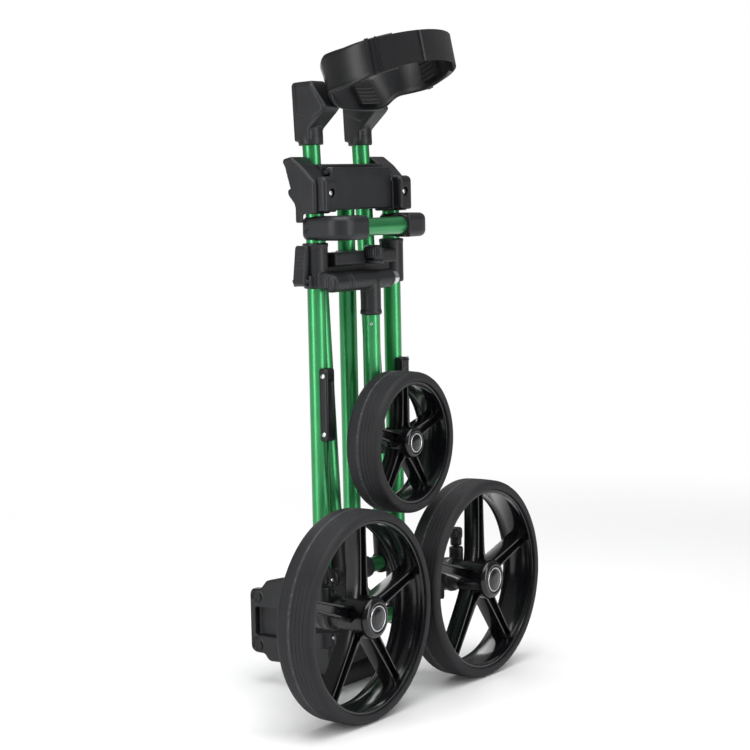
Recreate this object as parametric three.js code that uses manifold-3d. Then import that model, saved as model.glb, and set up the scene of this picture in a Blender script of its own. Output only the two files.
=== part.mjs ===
// Folding golf push trolley, folded flat for storage: two round main tubes with a clamp carriage and a
// head, a bag frame with a padded cradle hinged on the upper crossbar, a folding front-wheel arm, and two
// rear wheels on carriers that swivel out about the main tubes.
// Millimetres, +Z up, the wheels' outer faces towards -Y. The model is built with Y = 0 on the rear
// wheels' outer faces and X = 0 midway between them, and is moved at the end so that its origin is the
// middle of the bottom of its box.
import * as THREE from 'three';
import { mergeVertices } from 'three/addons/utils/BufferGeometryUtils.js';
import Module from 'manifold-3d';

const wasm = await Module();
wasm.setup();

// ---------------------------------------------------------------- driving dimensions
const GAP = 0.3; // between pieces that touch
const RUN = 0.35; // radial play of what turns or slides

const REAR_WHEEL_R = 145;
const REAR_WHEEL_WIDTH = 56;
const FRONT_WHEEL_R = 100;
const FRONT_WHEEL_WIDTH = 53;
const WHEEL_CLEARANCE = 18.83; // between the front tyre and each rear tyre
const TYRE_DEPTH = 14;
const SPOKE_COUNT = 5;
const AXLE_R = 6;

const TUBE_R = 12.5;
const TUBE_WALL = 1.5;
const CROSSBAR_R = 11;
const MAIN_X = 92; // main tube axis from the middle plane
const MAIN_TOP = 728;
const SOCKET_WALL = 4; // of a tee or collar round a tube
const SLEEVE_WALL = 4.75; // of a clamp sleeve, which slides on its tube
const PIVOT_PIN_R = 5;
const BOSS_R = 13.5; // of the pivot's sleeve and boss
const TEE_RIGHT_X = 44.5; // right end of the arm's pivot sleeve

const CRADLE_RISE = 102; // length of the bag tubes beyond the height of the main tubes' tops
const BAG_LEAN = 2.65; // degrees, top of the bag frame backwards
const CRADLE_WALL = 5;
const CRADLE_DEPTH = 86; // reach of the cradle's front half from its middle
const STRAP_WALL = 2.4;

const HOUSING_R = 24; // of a rear axle's housing
const LOCK_R = 8.5; // of a lock knob's grip
const BUTTON_R = 13.5;
const BUTTON_TRAVEL = 3;
const FOOT_BAR_R = 14;

const ROUND = 16; // sides of small round pieces
const WHEEL_ROUND = 40; // sides of a wheel

// ---------------------------------------------------------------- places that follow from them
const TEE_HALF = CROSSBAR_R + SOCKET_WALL; // half height of a tee on a main tube
const REAR_WHEEL_X = REAR_WHEEL_R + 3.6;
const WHEEL_CENTRES = REAR_WHEEL_R + FRONT_WHEEL_R + WHEEL_CLEARANCE;
const FRONT_WHEEL_Z = Math.round(REAR_WHEEL_R + Math.sqrt(WHEEL_CENTRES ** 2 - REAR_WHEEL_X ** 2));
const LOWER_BAR_Z = REAR_WHEEL_R - 52;
const UPPER_BAR_Z = REAR_WHEEL_R + 30;

const MAIN_Y = REAR_WHEEL_WIDTH + 70;
const MAIN_FOOT = LOWER_BAR_Z - TEE_HALF + 1;
const CENTRE_TUBE_Y = MAIN_Y + 13.5;
const CENTRE_TUBE_FOOT = UPPER_BAR_Z + CROSSBAR_R + 10;
const CENTRE_TUBE_TOP = MAIN_TOP - 38;
const TEE_R = TUBE_R + SOCKET_WALL;
const TEE_END_X = MAIN_X - TUBE_R - 5.5; // inner end of a tee's side socket
const SLEEVE_R = TUBE_R + SLEEVE_WALL;

const HANDLE_Y = MAIN_Y - 46;
const HANDLE_Z = MAIN_TOP - 62;
const HANDLE_ELBOW_HALF = TUBE_R + 4.5;
const HANDLE_ELBOW_END_X = MAIN_X - 43;

const PIVOT_Y = MAIN_Y - 27;
const PIVOT_Z = MAIN_TOP - 137;
const TEE_LEFT_X = -(MAIN_X - 31.5); // left end of the arm's pivot sleeve
const SLEEVE_FOOT = PIVOT_Z - 8;
const SLEEVE_TOP = HANDLE_Z - HANDLE_ELBOW_HALF - 3;
const ARM_SOCKET_FOOT = PIVOT_Z - 50;
const ARM_TUBE_FOOT = FRONT_WHEEL_Z + 21;
const FRONT_WHEEL_FACE_Y = PIVOT_Y - TUBE_R - 8.5 - FRONT_WHEEL_WIDTH;

const HEAD_IN_X = MAIN_X - TUBE_R - 4.5;
const HEAD_OUT_X = MAIN_X + TUBE_R + 8.5;
const PADDLE_HALF = HEAD_IN_X - 2.5;
const PADDLE_FRONT_Y = MAIN_Y - 16;
const PADDLE_THICK = 12.5;
const PADDLE_FOOT = MAIN_TOP - 38;
const PADDLE_TOP = MAIN_TOP + 21;

const BAG_TUBE_X = TEE_END_X - TUBE_R - 2.5;
const KNUCKLE_R = CROSSBAR_R + 4.2;
const KNUCKLE_HALF = TUBE_R + 1.3;
const TUBE_START = KNUCKLE_R + 4; // the bag tubes' ends, up from the upper crossbar
const TUBE_END = TUBE_START + MAIN_TOP - UPPER_BAR_Z + CRADLE_RISE;
const LEAN = THREE.MathUtils.degToRad(BAG_LEAN);
const CRADLE_R = BAG_TUBE_X + 33; // half width of the cradle ring at its middle surface
const BACK_FLAT = 0.6; // depth of the ring's flat back half as a share of its half width
const CRADLE_Y = MAIN_Y + TUBE_END * Math.sin(LEAN) - 36.97 - BACK_FLAT * CRADLE_R;
const CRADLE_Z = UPPER_BAR_Z + TUBE_END * Math.cos(LEAN) + 35.02;

const HUB_FACE = -8;
const HUB_BACK = REAR_WHEEL_WIDTH - 14;
const HOUSING_NEAR_Y = REAR_WHEEL_WIDTH + 3;
const HOUSING_FAR_Y = MAIN_Y - 26;
const LOCK_X = REAR_WHEEL_X + 17.4;
const LOCK_Y = HOUSING_NEAR_Y + 11;
const LOCK_FOOT = REAR_WHEEL_R + 41;

// ---------------------------------------------------------------- finishes
const finish = (color, roughness, metalness) => (
  new THREE.MeshStandardMaterial({ color, roughness, metalness })
);
const GREEN = finish('#2b8a45', 0.35, 0.85);
const BLACK = finish('#2a2b2d', 0.55, 0);
const GLOSS = finish('#0c0d0e', 0.15, 0);
const TYRE = finish('#3a3b3d', 0.85, 0);
const STEEL = finish('#b9bcc0', 0.3, 1);
const WEBBING = finish('#151517', 0.9, 0);
const RUBBER = finish('#1d1e20', 0.8, 0);

// ---------------------------------------------------------------- solids
const closed = (geometry) => {
  const plain = geometry.index ? geometry.toNonIndexed() : geometry.clone();
  plain.deleteAttribute('normal');
  plain.deleteAttribute('uv');
  const merged = mergeVertices(plain, 1e-4);
  const place = merged.getAttribute('position');
  const index = merged.getIndex().array;
  const kept = [];
  let volume = 0;
  const a = new THREE.Vector3();
  const b = new THREE.Vector3();
  const c = new THREE.Vector3();
  for (let i = 0; i < index.length; i += 3) {
    const [p, q, r] = [index[i], index[i + 1], index[i + 2]];
    if (p === q || q === r || r === p) continue;
    kept.push(p, q, r);
    a.fromBufferAttribute(place, p);
    b.fromBufferAttribute(place, q);
    c.fromBufferAttribute(place, r);
    volume += a.dot(b.cross(c));
  }
  if (volume < 0) kept.reverse();
  const out = new THREE.BufferGeometry();
  out.setAttribute('position', place);
  out.setIndex(kept);
  return out;
};

const solidOf = (geometry) => {
  const plain = closed(geometry);
  return new wasm.Manifold(new wasm.Mesh({
    numProp: 3,
    vertProperties: new Float32Array(plain.getAttribute('position').array),
    triVerts: new Uint32Array(plain.getIndex().array),
  }));
};

const geometryOf = (solid) => {
  const mesh = solid.getMesh();
  const out = new THREE.BufferGeometry();
  out.setAttribute('position', new THREE.BufferAttribute(new Float32Array(mesh.vertProperties), 3));
  out.setIndex(new THREE.BufferAttribute(new Uint32Array(mesh.triVerts), 1));
  return out;
};

const union = (...solids) => solids.reduce((all, next) => all.add(next));
const cut = (solid, ...tools) => tools.reduce((left, tool) => left.subtract(tool), solid);

const v = (x, y, z) => new THREE.Vector3(x, y, z);

// A closed profile of [radius, height] points turned about the line from one point to another.
const turned = (profile, from, to, sides = ROUND) => {
  const geometry = new THREE.LatheGeometry(profile.map(([r, h]) => new THREE.Vector2(r, h)), sides);
  const axis = to.clone().sub(from).normalize();
  geometry.applyQuaternion(new THREE.Quaternion().setFromUnitVectors(v(0, 1, 0), axis));
  geometry.translate(from.x, from.y, from.z);
  return solidOf(geometry);
};

const rod = (from, to, r, sides = ROUND) => {
  const length = from.distanceTo(to);
  return turned([[0, 0], [r, 0], [r, length], [0, length]], from, to, sides);
};

const pipe = (from, to, outer, inner, sides = ROUND) => {
  const length = from.distanceTo(to);
  return turned([[inner, 0], [outer, 0], [outer, length], [inner, length], [inner, 0]], from, to, sides);
};

// A rod with its end edges chamfered.
const softRod = (from, to, r, edge, sides = ROUND) => {
  const length = from.distanceTo(to);
  const near = [[0, 0], [r - edge, 0], [r, edge]];
  const far = [[r, length - edge], [r - edge, length], [0, length]];
  return turned([...near, ...far], from, to, sides);
};

const roundedOutline = (u0, v0, u1, v1, r) => {
  const shape = new THREE.Shape();
  shape.moveTo(u0 + r, v0);
  shape.lineTo(u1 - r, v0);
  shape.absarc(u1 - r, v0 + r, r, -Math.PI / 2, 0);
  shape.lineTo(u1, v1 - r);
  shape.absarc(u1 - r, v1 - r, r, 0, Math.PI / 2);
  shape.lineTo(u0 + r, v1);
  shape.absarc(u0 + r, v1 - r, r, Math.PI / 2, Math.PI);
  shape.lineTo(u0, v0 + r);
  shape.absarc(u0 + r, v0 + r, r, Math.PI, Math.PI * 1.5);
  return shape;
};

const outlineOf = (points) => new THREE.Shape(points.map(([p, q]) => new THREE.Vector2(p, q)));

// An outline carried straight from low to high along one axis, its edges bevelled.
// Along x the outline is (y, z); along y it is (x, z); along z it is (x, y).
const slab = (shape, axis, low, high, bevel = 0, curveSegments = 3) => {
  const geometry = new THREE.ExtrudeGeometry(shape, {
    depth: high - low - 2 * bevel,
    bevelEnabled: bevel > 0,
    bevelThickness: bevel,
    bevelSize: bevel,
    bevelOffset: -bevel,
    bevelSegments: 1,
    curveSegments,
  });
  geometry.translate(0, 0, low + bevel);
  const frames = {
    x: [v(0, 1, 0), v(0, 0, 1), v(1, 0, 0)],
    y: [v(1, 0, 0), v(0, 0, 1), v(0, 1, 0)],
    z: [v(1, 0, 0), v(0, 1, 0), v(0, 0, 1)],
  };
  geometry.applyMatrix4(new THREE.Matrix4().makeBasis(...frames[axis]));
  return solidOf(geometry);
};

const block = (low, high, r = 0, bevel = 0) => {
  const shape = r > 0 ? roundedOutline(low.y, low.z, high.y, high.z, r)
    : outlineOf([[low.y, low.z], [high.y, low.z], [high.y, high.z], [low.y, high.z]]);
  return slab(shape, 'x', low.x, high.x, bevel);
};

// ---------------------------------------------------------------- scene graph helpers
const trolley = new THREE.Group();
const names = new Set();
const add = (group, name, solid, material) => {
  if (names.has(name)) throw new Error(`two pieces named ${name}`);
  names.add(name);
  const mesh = new THREE.Mesh(geometryOf(solid), material);
  mesh.name = name;
  group.add(mesh);
  return mesh;
};
const body = (x = 0, y = 0, z = 0) => {
  const group = new THREE.Group();
  group.position.set(x, y, z);
  trolley.add(group);
  return group;
};
const SIDES = [['left', -1], ['right', 1]];

// ---------------------------------------------------------------- tubes and lower frame
const frame = body();

const tube = (from, to) => pipe(from, to, TUBE_R, TUBE_R - TUBE_WALL);
const tubeBore = (x, y, low, high) => rod(v(x, y, low), v(x, y, high), TUBE_R + GAP);
const BAR_HALF = MAIN_X - TUBE_R - GAP;
const barPoint = (x, z) => v(x, MAIN_Y, z);
const crossbar = (z) => (
  pipe(barPoint(-BAR_HALF, z), barPoint(BAR_HALF, z), CROSSBAR_R, CROSSBAR_R - TUBE_WALL)
);

const tee = (side, z) => {
  const x = side * MAIN_X;
  const post = softRod(barPoint(x, z - TEE_HALF), barPoint(x, z + TEE_HALF), TEE_R, 2);
  const arm = rod(barPoint(x, z), barPoint(side * TEE_END_X, z), CROSSBAR_R + 3);
  const post_bore = tubeBore(x, MAIN_Y, z - TEE_HALF - 5, z + TEE_HALF + 5);
  const arm_ends = [barPoint(side * (BAR_HALF + GAP), z), barPoint(side * (TEE_END_X - 2), z)];
  return cut(union(post, arm), post_bore, rod(...arm_ends, CROSSBAR_R + GAP));
};

for (const [name, side] of SIDES) {
  const x = side * MAIN_X;
  add(frame, `main_tube_${name}`, tube(barPoint(x, MAIN_FOOT), barPoint(x, MAIN_TOP)), GREEN);
  add(frame, `lower_tee_${name}`, tee(side, LOWER_BAR_Z), BLACK);
  add(frame, `upper_tee_${name}`, tee(side, UPPER_BAR_Z), BLACK);
}
add(frame, 'lower_crossbar', crossbar(LOWER_BAR_Z), GREEN);
add(frame, 'upper_crossbar', crossbar(UPPER_BAR_Z), GREEN);
const centreTube = tube(v(0, CENTRE_TUBE_Y, CENTRE_TUBE_FOOT), v(0, CENTRE_TUBE_Y, CENTRE_TUBE_TOP));
add(frame, 'centre_tube', centreTube, GREEN);

const centreSocket = () => {
  const half = 14;
  const top = CENTRE_TUBE_FOOT + 24;
  const collar = softRod(barPoint(-half, UPPER_BAR_Z), barPoint(half, UPPER_BAR_Z), CROSSBAR_R + 5, 2);
  const cup = softRod(v(0, CENTRE_TUBE_Y, UPPER_BAR_Z), v(0, CENTRE_TUBE_Y, top), TEE_R, 2);
  const bar_ends = [barPoint(-half - 10, UPPER_BAR_Z), barPoint(half + 10, UPPER_BAR_Z)];
  const tube_bore = tubeBore(0, CENTRE_TUBE_Y, CENTRE_TUBE_FOOT - GAP, top + 5);
  return cut(union(collar, cup), rod(...bar_ends, CROSSBAR_R + GAP), tube_bore);
};
add(frame, 'centre_socket', centreSocket(), BLACK);

// ---------------------------------------------------------------- lower bag bracket and foot bar
// The bracket is built about the lower crossbar's axis, y back and z up from it.
const BRACKET_HALF = BAG_TUBE_X + 6;
const BRACKET_PLATE = 12;
const PIN_Y = 141.5;
const PIN_HIGH = 37;
const PIN_LOW = -34.5;
const PIN_R = 4.5;
const PIN_HEAD_R = 10;
const FOOT_BAR_Y = 29;
const FOOT_BAR_Z = FOOT_BAR_R - LOWER_BAR_Z;
const toBracket = (solid) => solid.translate([0, MAIN_Y, LOWER_BAR_Z]);

const bracketPlate = (low, high) => {
  const corner = 13;
  const sole = 4 - LOWER_BAR_Z;
  const outline = new THREE.Shape();
  outline.moveTo(14, 19);
  outline.lineTo(54, 59);
  outline.quadraticCurveTo(74, 73, 96, 68);
  outline.lineTo(122, 62);
  outline.quadraticCurveTo(130, 58, 136, 52);
  outline.absarc(PIN_Y, PIN_HIGH - 1, corner, Math.PI * 0.6, 0, true);
  outline.absarc(PIN_Y, PIN_LOW + 1, corner, 0, -Math.PI * 0.5, true);
  outline.quadraticCurveTo(129, -49, 122, -55);
  outline.quadraticCurveTo(110, -60, 96, -56);
  outline.lineTo(42, sole);
  outline.lineTo(20, sole);
  outline.lineTo(12, sole + 22);
  outline.lineTo(14, -19);
  return slab(outline, 'x', low, high, 0, 4);
};
const bagBracket = () => {
  const inner = BRACKET_HALF - BRACKET_PLATE;
  const plates = [bracketPlate(-BRACKET_HALF, -inner), bracketPlate(inner, BRACKET_HALF)];
  const pockets = [-BRACKET_HALF - 1, BRACKET_HALF - 7].map((low) => (
    block(v(low, 100, -20), v(low + 8, 145, 22), 2)
  ));
  const web = block(v(-BRACKET_HALF + 4, 20, -53), v(BRACKET_HALF - 4, 30, 35));
  const saddle = block(v(-40, -2, -17), v(40, 24, 17), 3);
  const long = BRACKET_HALF + 15;
  const bore = (y, z, r) => rod(v(-long, y, z), v(long, y, z), r + GAP);
  const bores = [
    bore(0, 0, CROSSBAR_R), bore(PIN_Y, PIN_HIGH, PIN_R), bore(PIN_Y, PIN_LOW, PIN_R),
    bore(FOOT_BAR_Y, FOOT_BAR_Z, FOOT_BAR_R),
  ];
  return cut(union(...plates, web, saddle), ...pockets, ...bores);
};
add(frame, 'bag_bracket', toBracket(bagBracket()), BLACK);

const bracketPin = (z) => {
  const at = (x) => v(x, PIN_Y, z);
  const shank = rod(at(-BRACKET_HALF - 1), at(BRACKET_HALF + 1), PIN_R);
  const heads = SIDES.map(([, side]) => (
    softRod(at(side * (BRACKET_HALF + GAP)), at(side * (BRACKET_HALF + 3)), PIN_HEAD_R, 1)
  ));
  return toBracket(union(shank, ...heads));
};
add(frame, 'bracket_pin_upper', bracketPin(PIN_HIGH), BLACK);
add(frame, 'bracket_pin_lower', bracketPin(PIN_LOW), BLACK);

const footEnd = (side) => v(side * (BRACKET_HALF + 17), FOOT_BAR_Y, FOOT_BAR_Z);
add(frame, 'foot_bar', toBracket(softRod(footEnd(-1), footEnd(1), FOOT_BAR_R, 4)), RUBBER);

// ---------------------------------------------------------------- guards on the main tubes
const guard = (side) => {
  const low = v(side * MAIN_X - 10, MAIN_Y - 22, FRONT_WHEEL_Z + 8);
  const high = v(side * MAIN_X + 10, MAIN_Y - 5, FRONT_WHEEL_Z + 110);
  return cut(block(low, high, 3, 1.5), tubeBore(side * MAIN_X, MAIN_Y, low.z - 5, high.z + 5));
};
for (const [name, side] of SIDES) add(frame, `tube_guard_${name}`, guard(side), BLACK);

// ---------------------------------------------------------------- clamp carriage and front-arm pivot
// The left sleeve carries the pivot's boss and the cam lever's cheeks; the right one is plain.
const CAM_R = 7.2;
const CAM_X = MAIN_X + SLEEVE_R + CAM_R + 0.55;
const CAM_Y = MAIN_Y + 6;
const CAM_Z = PIVOT_Z + 3;
const CAM_HALF = 10;
const CAM_PIN_R = 2.5;
const pivotPoint = (x) => v(x, PIVOT_Y, PIVOT_Z);

const sleevePost = (side) => {
  const x = side * MAIN_X;
  return softRod(barPoint(x, SLEEVE_FOOT), barPoint(x, SLEEVE_TOP), SLEEVE_R, 2);
};
const sleeveBore = (side) => tubeBore(side * MAIN_X, MAIN_Y, SLEEVE_FOOT - 2, SLEEVE_TOP + 2);
const leftSleeve = () => {
  const boss = softRod(pivotPoint(-MAIN_X), pivotPoint(TEE_LEFT_X - 1.5), BOSS_R, 1.5);
  const dome = softRod(pivotPoint(-MAIN_X - 8), pivotPoint(-MAIN_X + 9), BOSS_R, 6);
  const web = block(v(-MAIN_X - 12, PIVOT_Y, PIVOT_Z - 8), v(-MAIN_X + 12, MAIN_Y, PIVOT_Z + 14), 2);
  const cheeks = [CAM_Y - CAM_HALF - 5, CAM_Y + CAM_HALF + 0.6].map((face) => (
    block(v(-CAM_X - 7, face, CAM_Z - 8), v(-MAIN_X, face + 4.4, CAM_Z + 8), 1)
  ));
  const pin_bore = rod(pivotPoint(-MAIN_X - 2), pivotPoint(0), PIVOT_PIN_R + GAP);
  const cam_bore = rod(v(-CAM_X, CAM_Y - 30, CAM_Z), v(-CAM_X, CAM_Y + 30, CAM_Z), CAM_PIN_R + RUN, 12);
  return cut(union(sleevePost(-1), boss, dome, web, ...cheeks), sleeveBore(-1), pin_bore, cam_bore);
};
add(frame, 'clamp_sleeve_left', leftSleeve(), BLACK);
add(frame, 'clamp_sleeve_right', cut(sleevePost(1), sleeveBore(1)), BLACK);

const BRIDGE_TOP = PIVOT_Z + 41;
const SHELF_Z = PIVOT_Z + BOSS_R + 8.7;
const SHELF_THICK = 5;
const BUTTON_X = 7;
const BUTTON_Y = PIVOT_Y - 1;
const STEM_R = 4;
const buttonRod = (low, high, r) => rod(v(BUTTON_X, BUTTON_Y, low), v(BUTTON_X, BUTTON_Y, high), r);
const clampBridge = () => {
  const half = MAIN_X - SLEEVE_R - GAP;
  const front = MAIN_Y - 22;
  const middle = MAIN_Y - 9.4;
  const back = MAIN_Y - 0.5;
  const foot = PIVOT_Z + 7;
  const section = [
    [back, foot], [back, BRIDGE_TOP], [front, BRIDGE_TOP], [front, SHELF_Z], [middle, SHELF_Z],
    [middle, foot],
  ];
  const bar = slab(outlineOf(section), 'x', -half, half);
  const seat = buttonRod(SHELF_Z, SHELF_Z + SHELF_THICK, BUTTON_R + 1);
  const neck_end = v(BUTTON_X + 11, front + 2, SHELF_Z + SHELF_THICK);
  const neck = block(v(BUTTON_X - 11, BUTTON_Y, SHELF_Z), neck_end);
  const collar = softRod(v(0, CENTRE_TUBE_Y, foot + 2), v(0, CENTRE_TUBE_Y, BRIDGE_TOP), TEE_R, 1.5);
  const stem_well = buttonRod(SHELF_Z - 2, SHELF_Z + SHELF_THICK + 2, STEM_R + RUN);
  const cap_space = buttonRod(SHELF_Z + SHELF_THICK, BRIDGE_TOP + 5, BUTTON_R + 0.6);
  const tube_bore = tubeBore(0, CENTRE_TUBE_Y, foot - 5, BRIDGE_TOP + 5);
  return cut(union(bar, seat, neck, collar), tube_bore, stem_well, cap_space);
};
add(frame, 'clamp_bridge', clampBridge(), BLACK);

// The pin stands out of the left sleeve's boss, carries the arm and ends in a nut.
const pivotNut = softRod(pivotPoint(TEE_RIGHT_X + 2), pivotPoint(TEE_RIGHT_X + 15.5), 9.5, 1);
const pivotPin = union(rod(pivotPoint(-MAIN_X + 1), pivotPoint(TEE_RIGHT_X + 14), PIVOT_PIN_R), pivotNut);
add(frame, 'arm_pivot_pin', pivotPin, STEEL);

const releaseButton = body();
const button = () => {
  const cap_foot = SHELF_Z + SHELF_THICK + BUTTON_TRAVEL + 0.5;
  const ends = [v(BUTTON_X, BUTTON_Y, cap_foot), v(BUTTON_X, BUTTON_Y, cap_foot + 18)];
  return union(softRod(...ends, BUTTON_R, 5), buttonRod(SHELF_Z + 4, cap_foot + 2, STEM_R));
};
add(releaseButton, 'release_button', button(), BLACK);

const camBody = body();
const camLever = () => {
  const near = CAM_Y - CAM_HALF;
  const far = CAM_Y + CAM_HALF;
  const cam = rod(v(-CAM_X, near, CAM_Z), v(-CAM_X, far, CAM_Z), CAM_R);
  const outline = [[-8, -4], [2, -7], [6.5, 46], [3, 50], [-1, 46]].map(([x, z]) => [x - CAM_X, z + CAM_Z]);
  const arm = slab(outlineOf(outline), 'y', near, far, 1);
  const stubs = rod(v(-CAM_X, near - 4.6, CAM_Z), v(-CAM_X, far + 4.6, CAM_Z), CAM_PIN_R, 12);
  return union(cam, arm, stubs);
};
add(camBody, 'cam_lever', camLever(), BLACK);

// ---------------------------------------------------------------- handle
const HANDLE_HALF = MAIN_X - 24 - GAP;
const handleElbow = (side) => {
  const r = HANDLE_ELBOW_HALF - 0.5;
  const near = HANDLE_Y - r;
  const far = HANDLE_Y + r;
  const corner = 26;
  const plan = new THREE.Shape();
  plan.moveTo(HANDLE_ELBOW_END_X, near);
  plan.lineTo(MAIN_X + r - corner, near);
  plan.absarc(MAIN_X + r - corner, near + corner, corner, -Math.PI / 2, 0);
  plan.absarc(MAIN_X, MAIN_Y, r, 0, Math.PI);
  plan.lineTo(MAIN_X - r, far + 4);
  plan.lineTo(MAIN_X - r - 4, far);
  plan.lineTo(HANDLE_ELBOW_END_X, far);
  const elbow = slab(plan, 'z', HANDLE_Z - HANDLE_ELBOW_HALF, HANDLE_Z + HANDLE_ELBOW_HALF, 5, 5);
  const bar_ends = [HANDLE_ELBOW_END_X - 2, HANDLE_HALF + GAP].map((x) => v(x, HANDLE_Y, HANDLE_Z));
  const post_bore = tubeBore(MAIN_X, MAIN_Y, HANDLE_Z - 30, HANDLE_Z + 30);
  const made = cut(elbow, rod(...bar_ends, TUBE_R + GAP), post_bore);
  return side > 0 ? made : made.mirror([1, 0, 0]);
};
for (const [name, side] of SIDES) add(frame, `handle_elbow_${name}`, handleElbow(side), BLACK);
const handleEnd = (side) => v(side * HANDLE_HALF, HANDLE_Y, HANDLE_Z);
add(frame, 'handle_bar', tube(handleEnd(-1), handleEnd(1)), GREEN);

// ---------------------------------------------------------------- head: side blocks, bridge and paddle
// The side blocks' outlines are measured from the main tube's top: y back and z up from it.
const PADDLE_AXIS = [PADDLE_FRONT_Y + 7, PADDLE_TOP - 7];
const PADDLE_STUB_R = 3;
const sideSlab = (outline, side, inner, outer, bevel) => {
  const solid = slab(outline, 'x', inner, outer, bevel).translate([0, MAIN_Y, MAIN_TOP]);
  return side > 0 ? solid : solid.mirror([1, 0, 0]);
};
const headBlock = (side) => {
  const front = -TUBE_R - 4;
  const cheek = outlineOf([
    [front, -42], [front, 1], [6, 24], [24, 37], [37, 34], [39, 29], [17, -2], [31, -9], [30, -16],
    [TUBE_R + 5, -31], [TUBE_R + 5, -42],
  ]);
  const ear_r = 9.5;
  const ear = new THREE.Shape();
  ear.moveTo(front + 2.5, -40);
  ear.lineTo(front + 2.5, 8);
  ear.absarc(front - 3.5, -1, ear_r, Math.PI * 0.4, Math.PI);
  ear.lineTo(front - 3.5 - ear_r, -40);
  const solids = [
    sideSlab(cheek, side, HEAD_IN_X, HEAD_OUT_X, 2.5),
    sideSlab(ear, side, HEAD_IN_X + 2, HEAD_OUT_X - 15, 1.5),
  ];
  const ear_face = MAIN_Y + front - 3.5 - ear_r;
  const bolt_point = (y) => v(side * (MAIN_X - 3), y, MAIN_TOP - 14);
  const bolt_seat = rod(bolt_point(ear_face - 2), bolt_point(ear_face + 5), 6.5);
  const stub_ends = [HEAD_IN_X - 5, HEAD_IN_X + 6].map((x) => v(side * x, ...PADDLE_AXIS));
  const stub_bore = rod(...stub_ends, PADDLE_STUB_R + RUN, 12);
  const tube_bore = tubeBore(side * MAIN_X, MAIN_Y, MAIN_TOP - 48, MAIN_TOP + GAP);
  return cut(union(...solids), tube_bore, bolt_seat, stub_bore);
};
for (const [name, side] of SIDES) add(frame, `head_block_${name}`, headBlock(side), BLACK);
const bridgeLow = v(-HEAD_IN_X + GAP, MAIN_Y + 0.7, MAIN_TOP - 4);
const bridgeHigh = v(HEAD_IN_X - GAP, MAIN_Y + 9.5, MAIN_TOP + 26);
add(frame, 'head_bridge', block(bridgeLow, bridgeHigh, 2, 1), BLACK);

const latch = body();
const paddle = () => {
  const face = roundedOutline(-PADDLE_HALF, PADDLE_FOOT, PADDLE_HALF, PADDLE_TOP, 4);
  const plate = slab(face, 'y', PADDLE_FRONT_Y, PADDLE_FRONT_Y + PADDLE_THICK, 2);
  const panel_half = PADDLE_HALF - 22.5;
  const panel_outline = roundedOutline(-panel_half, PADDLE_FOOT + 16, panel_half, PADDLE_TOP - 18, 3);
  const panel = slab(panel_outline, 'y', PADDLE_FRONT_Y - 2, PADDLE_FRONT_Y + 1);
  const stubs = rod(v(-HEAD_IN_X - 5, ...PADDLE_AXIS), v(HEAD_IN_X + 5, ...PADDLE_AXIS), PADDLE_STUB_R, 12);
  return union(cut(plate, panel), stubs);
};
add(latch, 'latch_paddle', paddle(), BLACK);

// ---------------------------------------------------------------- bag frame
// Built upright on the upper crossbar's axis, then leaned back about it.
const bag = body(0, MAIN_Y, UPPER_BAR_Z);
bag.rotation.x = -LEAN;
const knuckle = (x) => {
  const ring = softRod(v(x - KNUCKLE_HALF, 0, 0), v(x + KNUCKLE_HALF, 0, 0), KNUCKLE_R, 1.5);
  const cup = softRod(v(x, 0, 0), v(x, 0, TUBE_START + 29), TUBE_R + 2.4, 1.5);
  const bar_bore = rod(v(x - 30, 0, 0), v(x + 30, 0, 0), CROSSBAR_R + RUN);
  return cut(union(ring, cup), bar_bore, tubeBore(x, 0, TUBE_START - GAP, TUBE_START + 40));
};
// An elbow's outline is measured from the tube's top end; the cradle sits on its sloping face.
const cradleElbow = (x) => {
  const r = TUBE_R + 4.5;
  const foot = -68.2;
  const outline = outlineOf([
    [r, foot + 6], [r, 15.8], [r - 4, 19.8], [-18, 19.8], [-43.4, -18.2], [-38, -24.2], [-11, -47.2],
    [-11, foot + 6],
  ]);
  const plate = slab(outline, 'x', x - r, x + r, 2);
  const cup = rod(v(x, 0, foot), v(x, 0, foot + 34), r);
  const collar = softRod(v(x, 0, foot), v(x, 0, foot + 14), r + 1, 1);
  return cut(union(plate, cup, collar), tubeBore(x, 0, foot - 2, GAP)).translate([0, 0, TUBE_END]);
};
for (const [name, side] of SIDES) {
  const x = side * BAG_TUBE_X;
  add(bag, `bag_knuckle_${name}`, knuckle(x), BLACK);
  add(bag, `bag_tube_${name}`, tube(v(x, 0, TUBE_START), v(x, 0, TUBE_END)), GREEN);
  add(bag, `cradle_elbow_${name}`, cradleElbow(x), BLACK);
}

// The cradle is a ring with a flat back. At angle phi (0 at +X, 90 at the back) its middle surface is
// a circle pressed flat behind, and it rises towards the front while its back leans.
const smooth = (t) => {
  const s = Math.min(1, Math.max(0, t));
  return s * s * (3 - 2 * s);
};
const cradleBand = (phi) => {
  const s = Math.sin(phi);
  const back = smooth((s - 0.4) / 0.5);
  const flat = s > 0.3 ? s - (1 - BACK_FLAT) * ((s - 0.3) / 0.7) ** 2 : s;
  return {
    x: CRADLE_R * Math.cos(phi),
    y: CRADLE_Y + (s < 0 ? CRADLE_DEPTH : CRADLE_R) * flat,
    z: CRADLE_Z - (s < 0 ? 28.5 : 17) * s - 16.5 * back,
    half: 25.5 + (s < 0 ? 3 * s : -3.5 * back),
    lean: 5 + 7 * back,
  };
};
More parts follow.
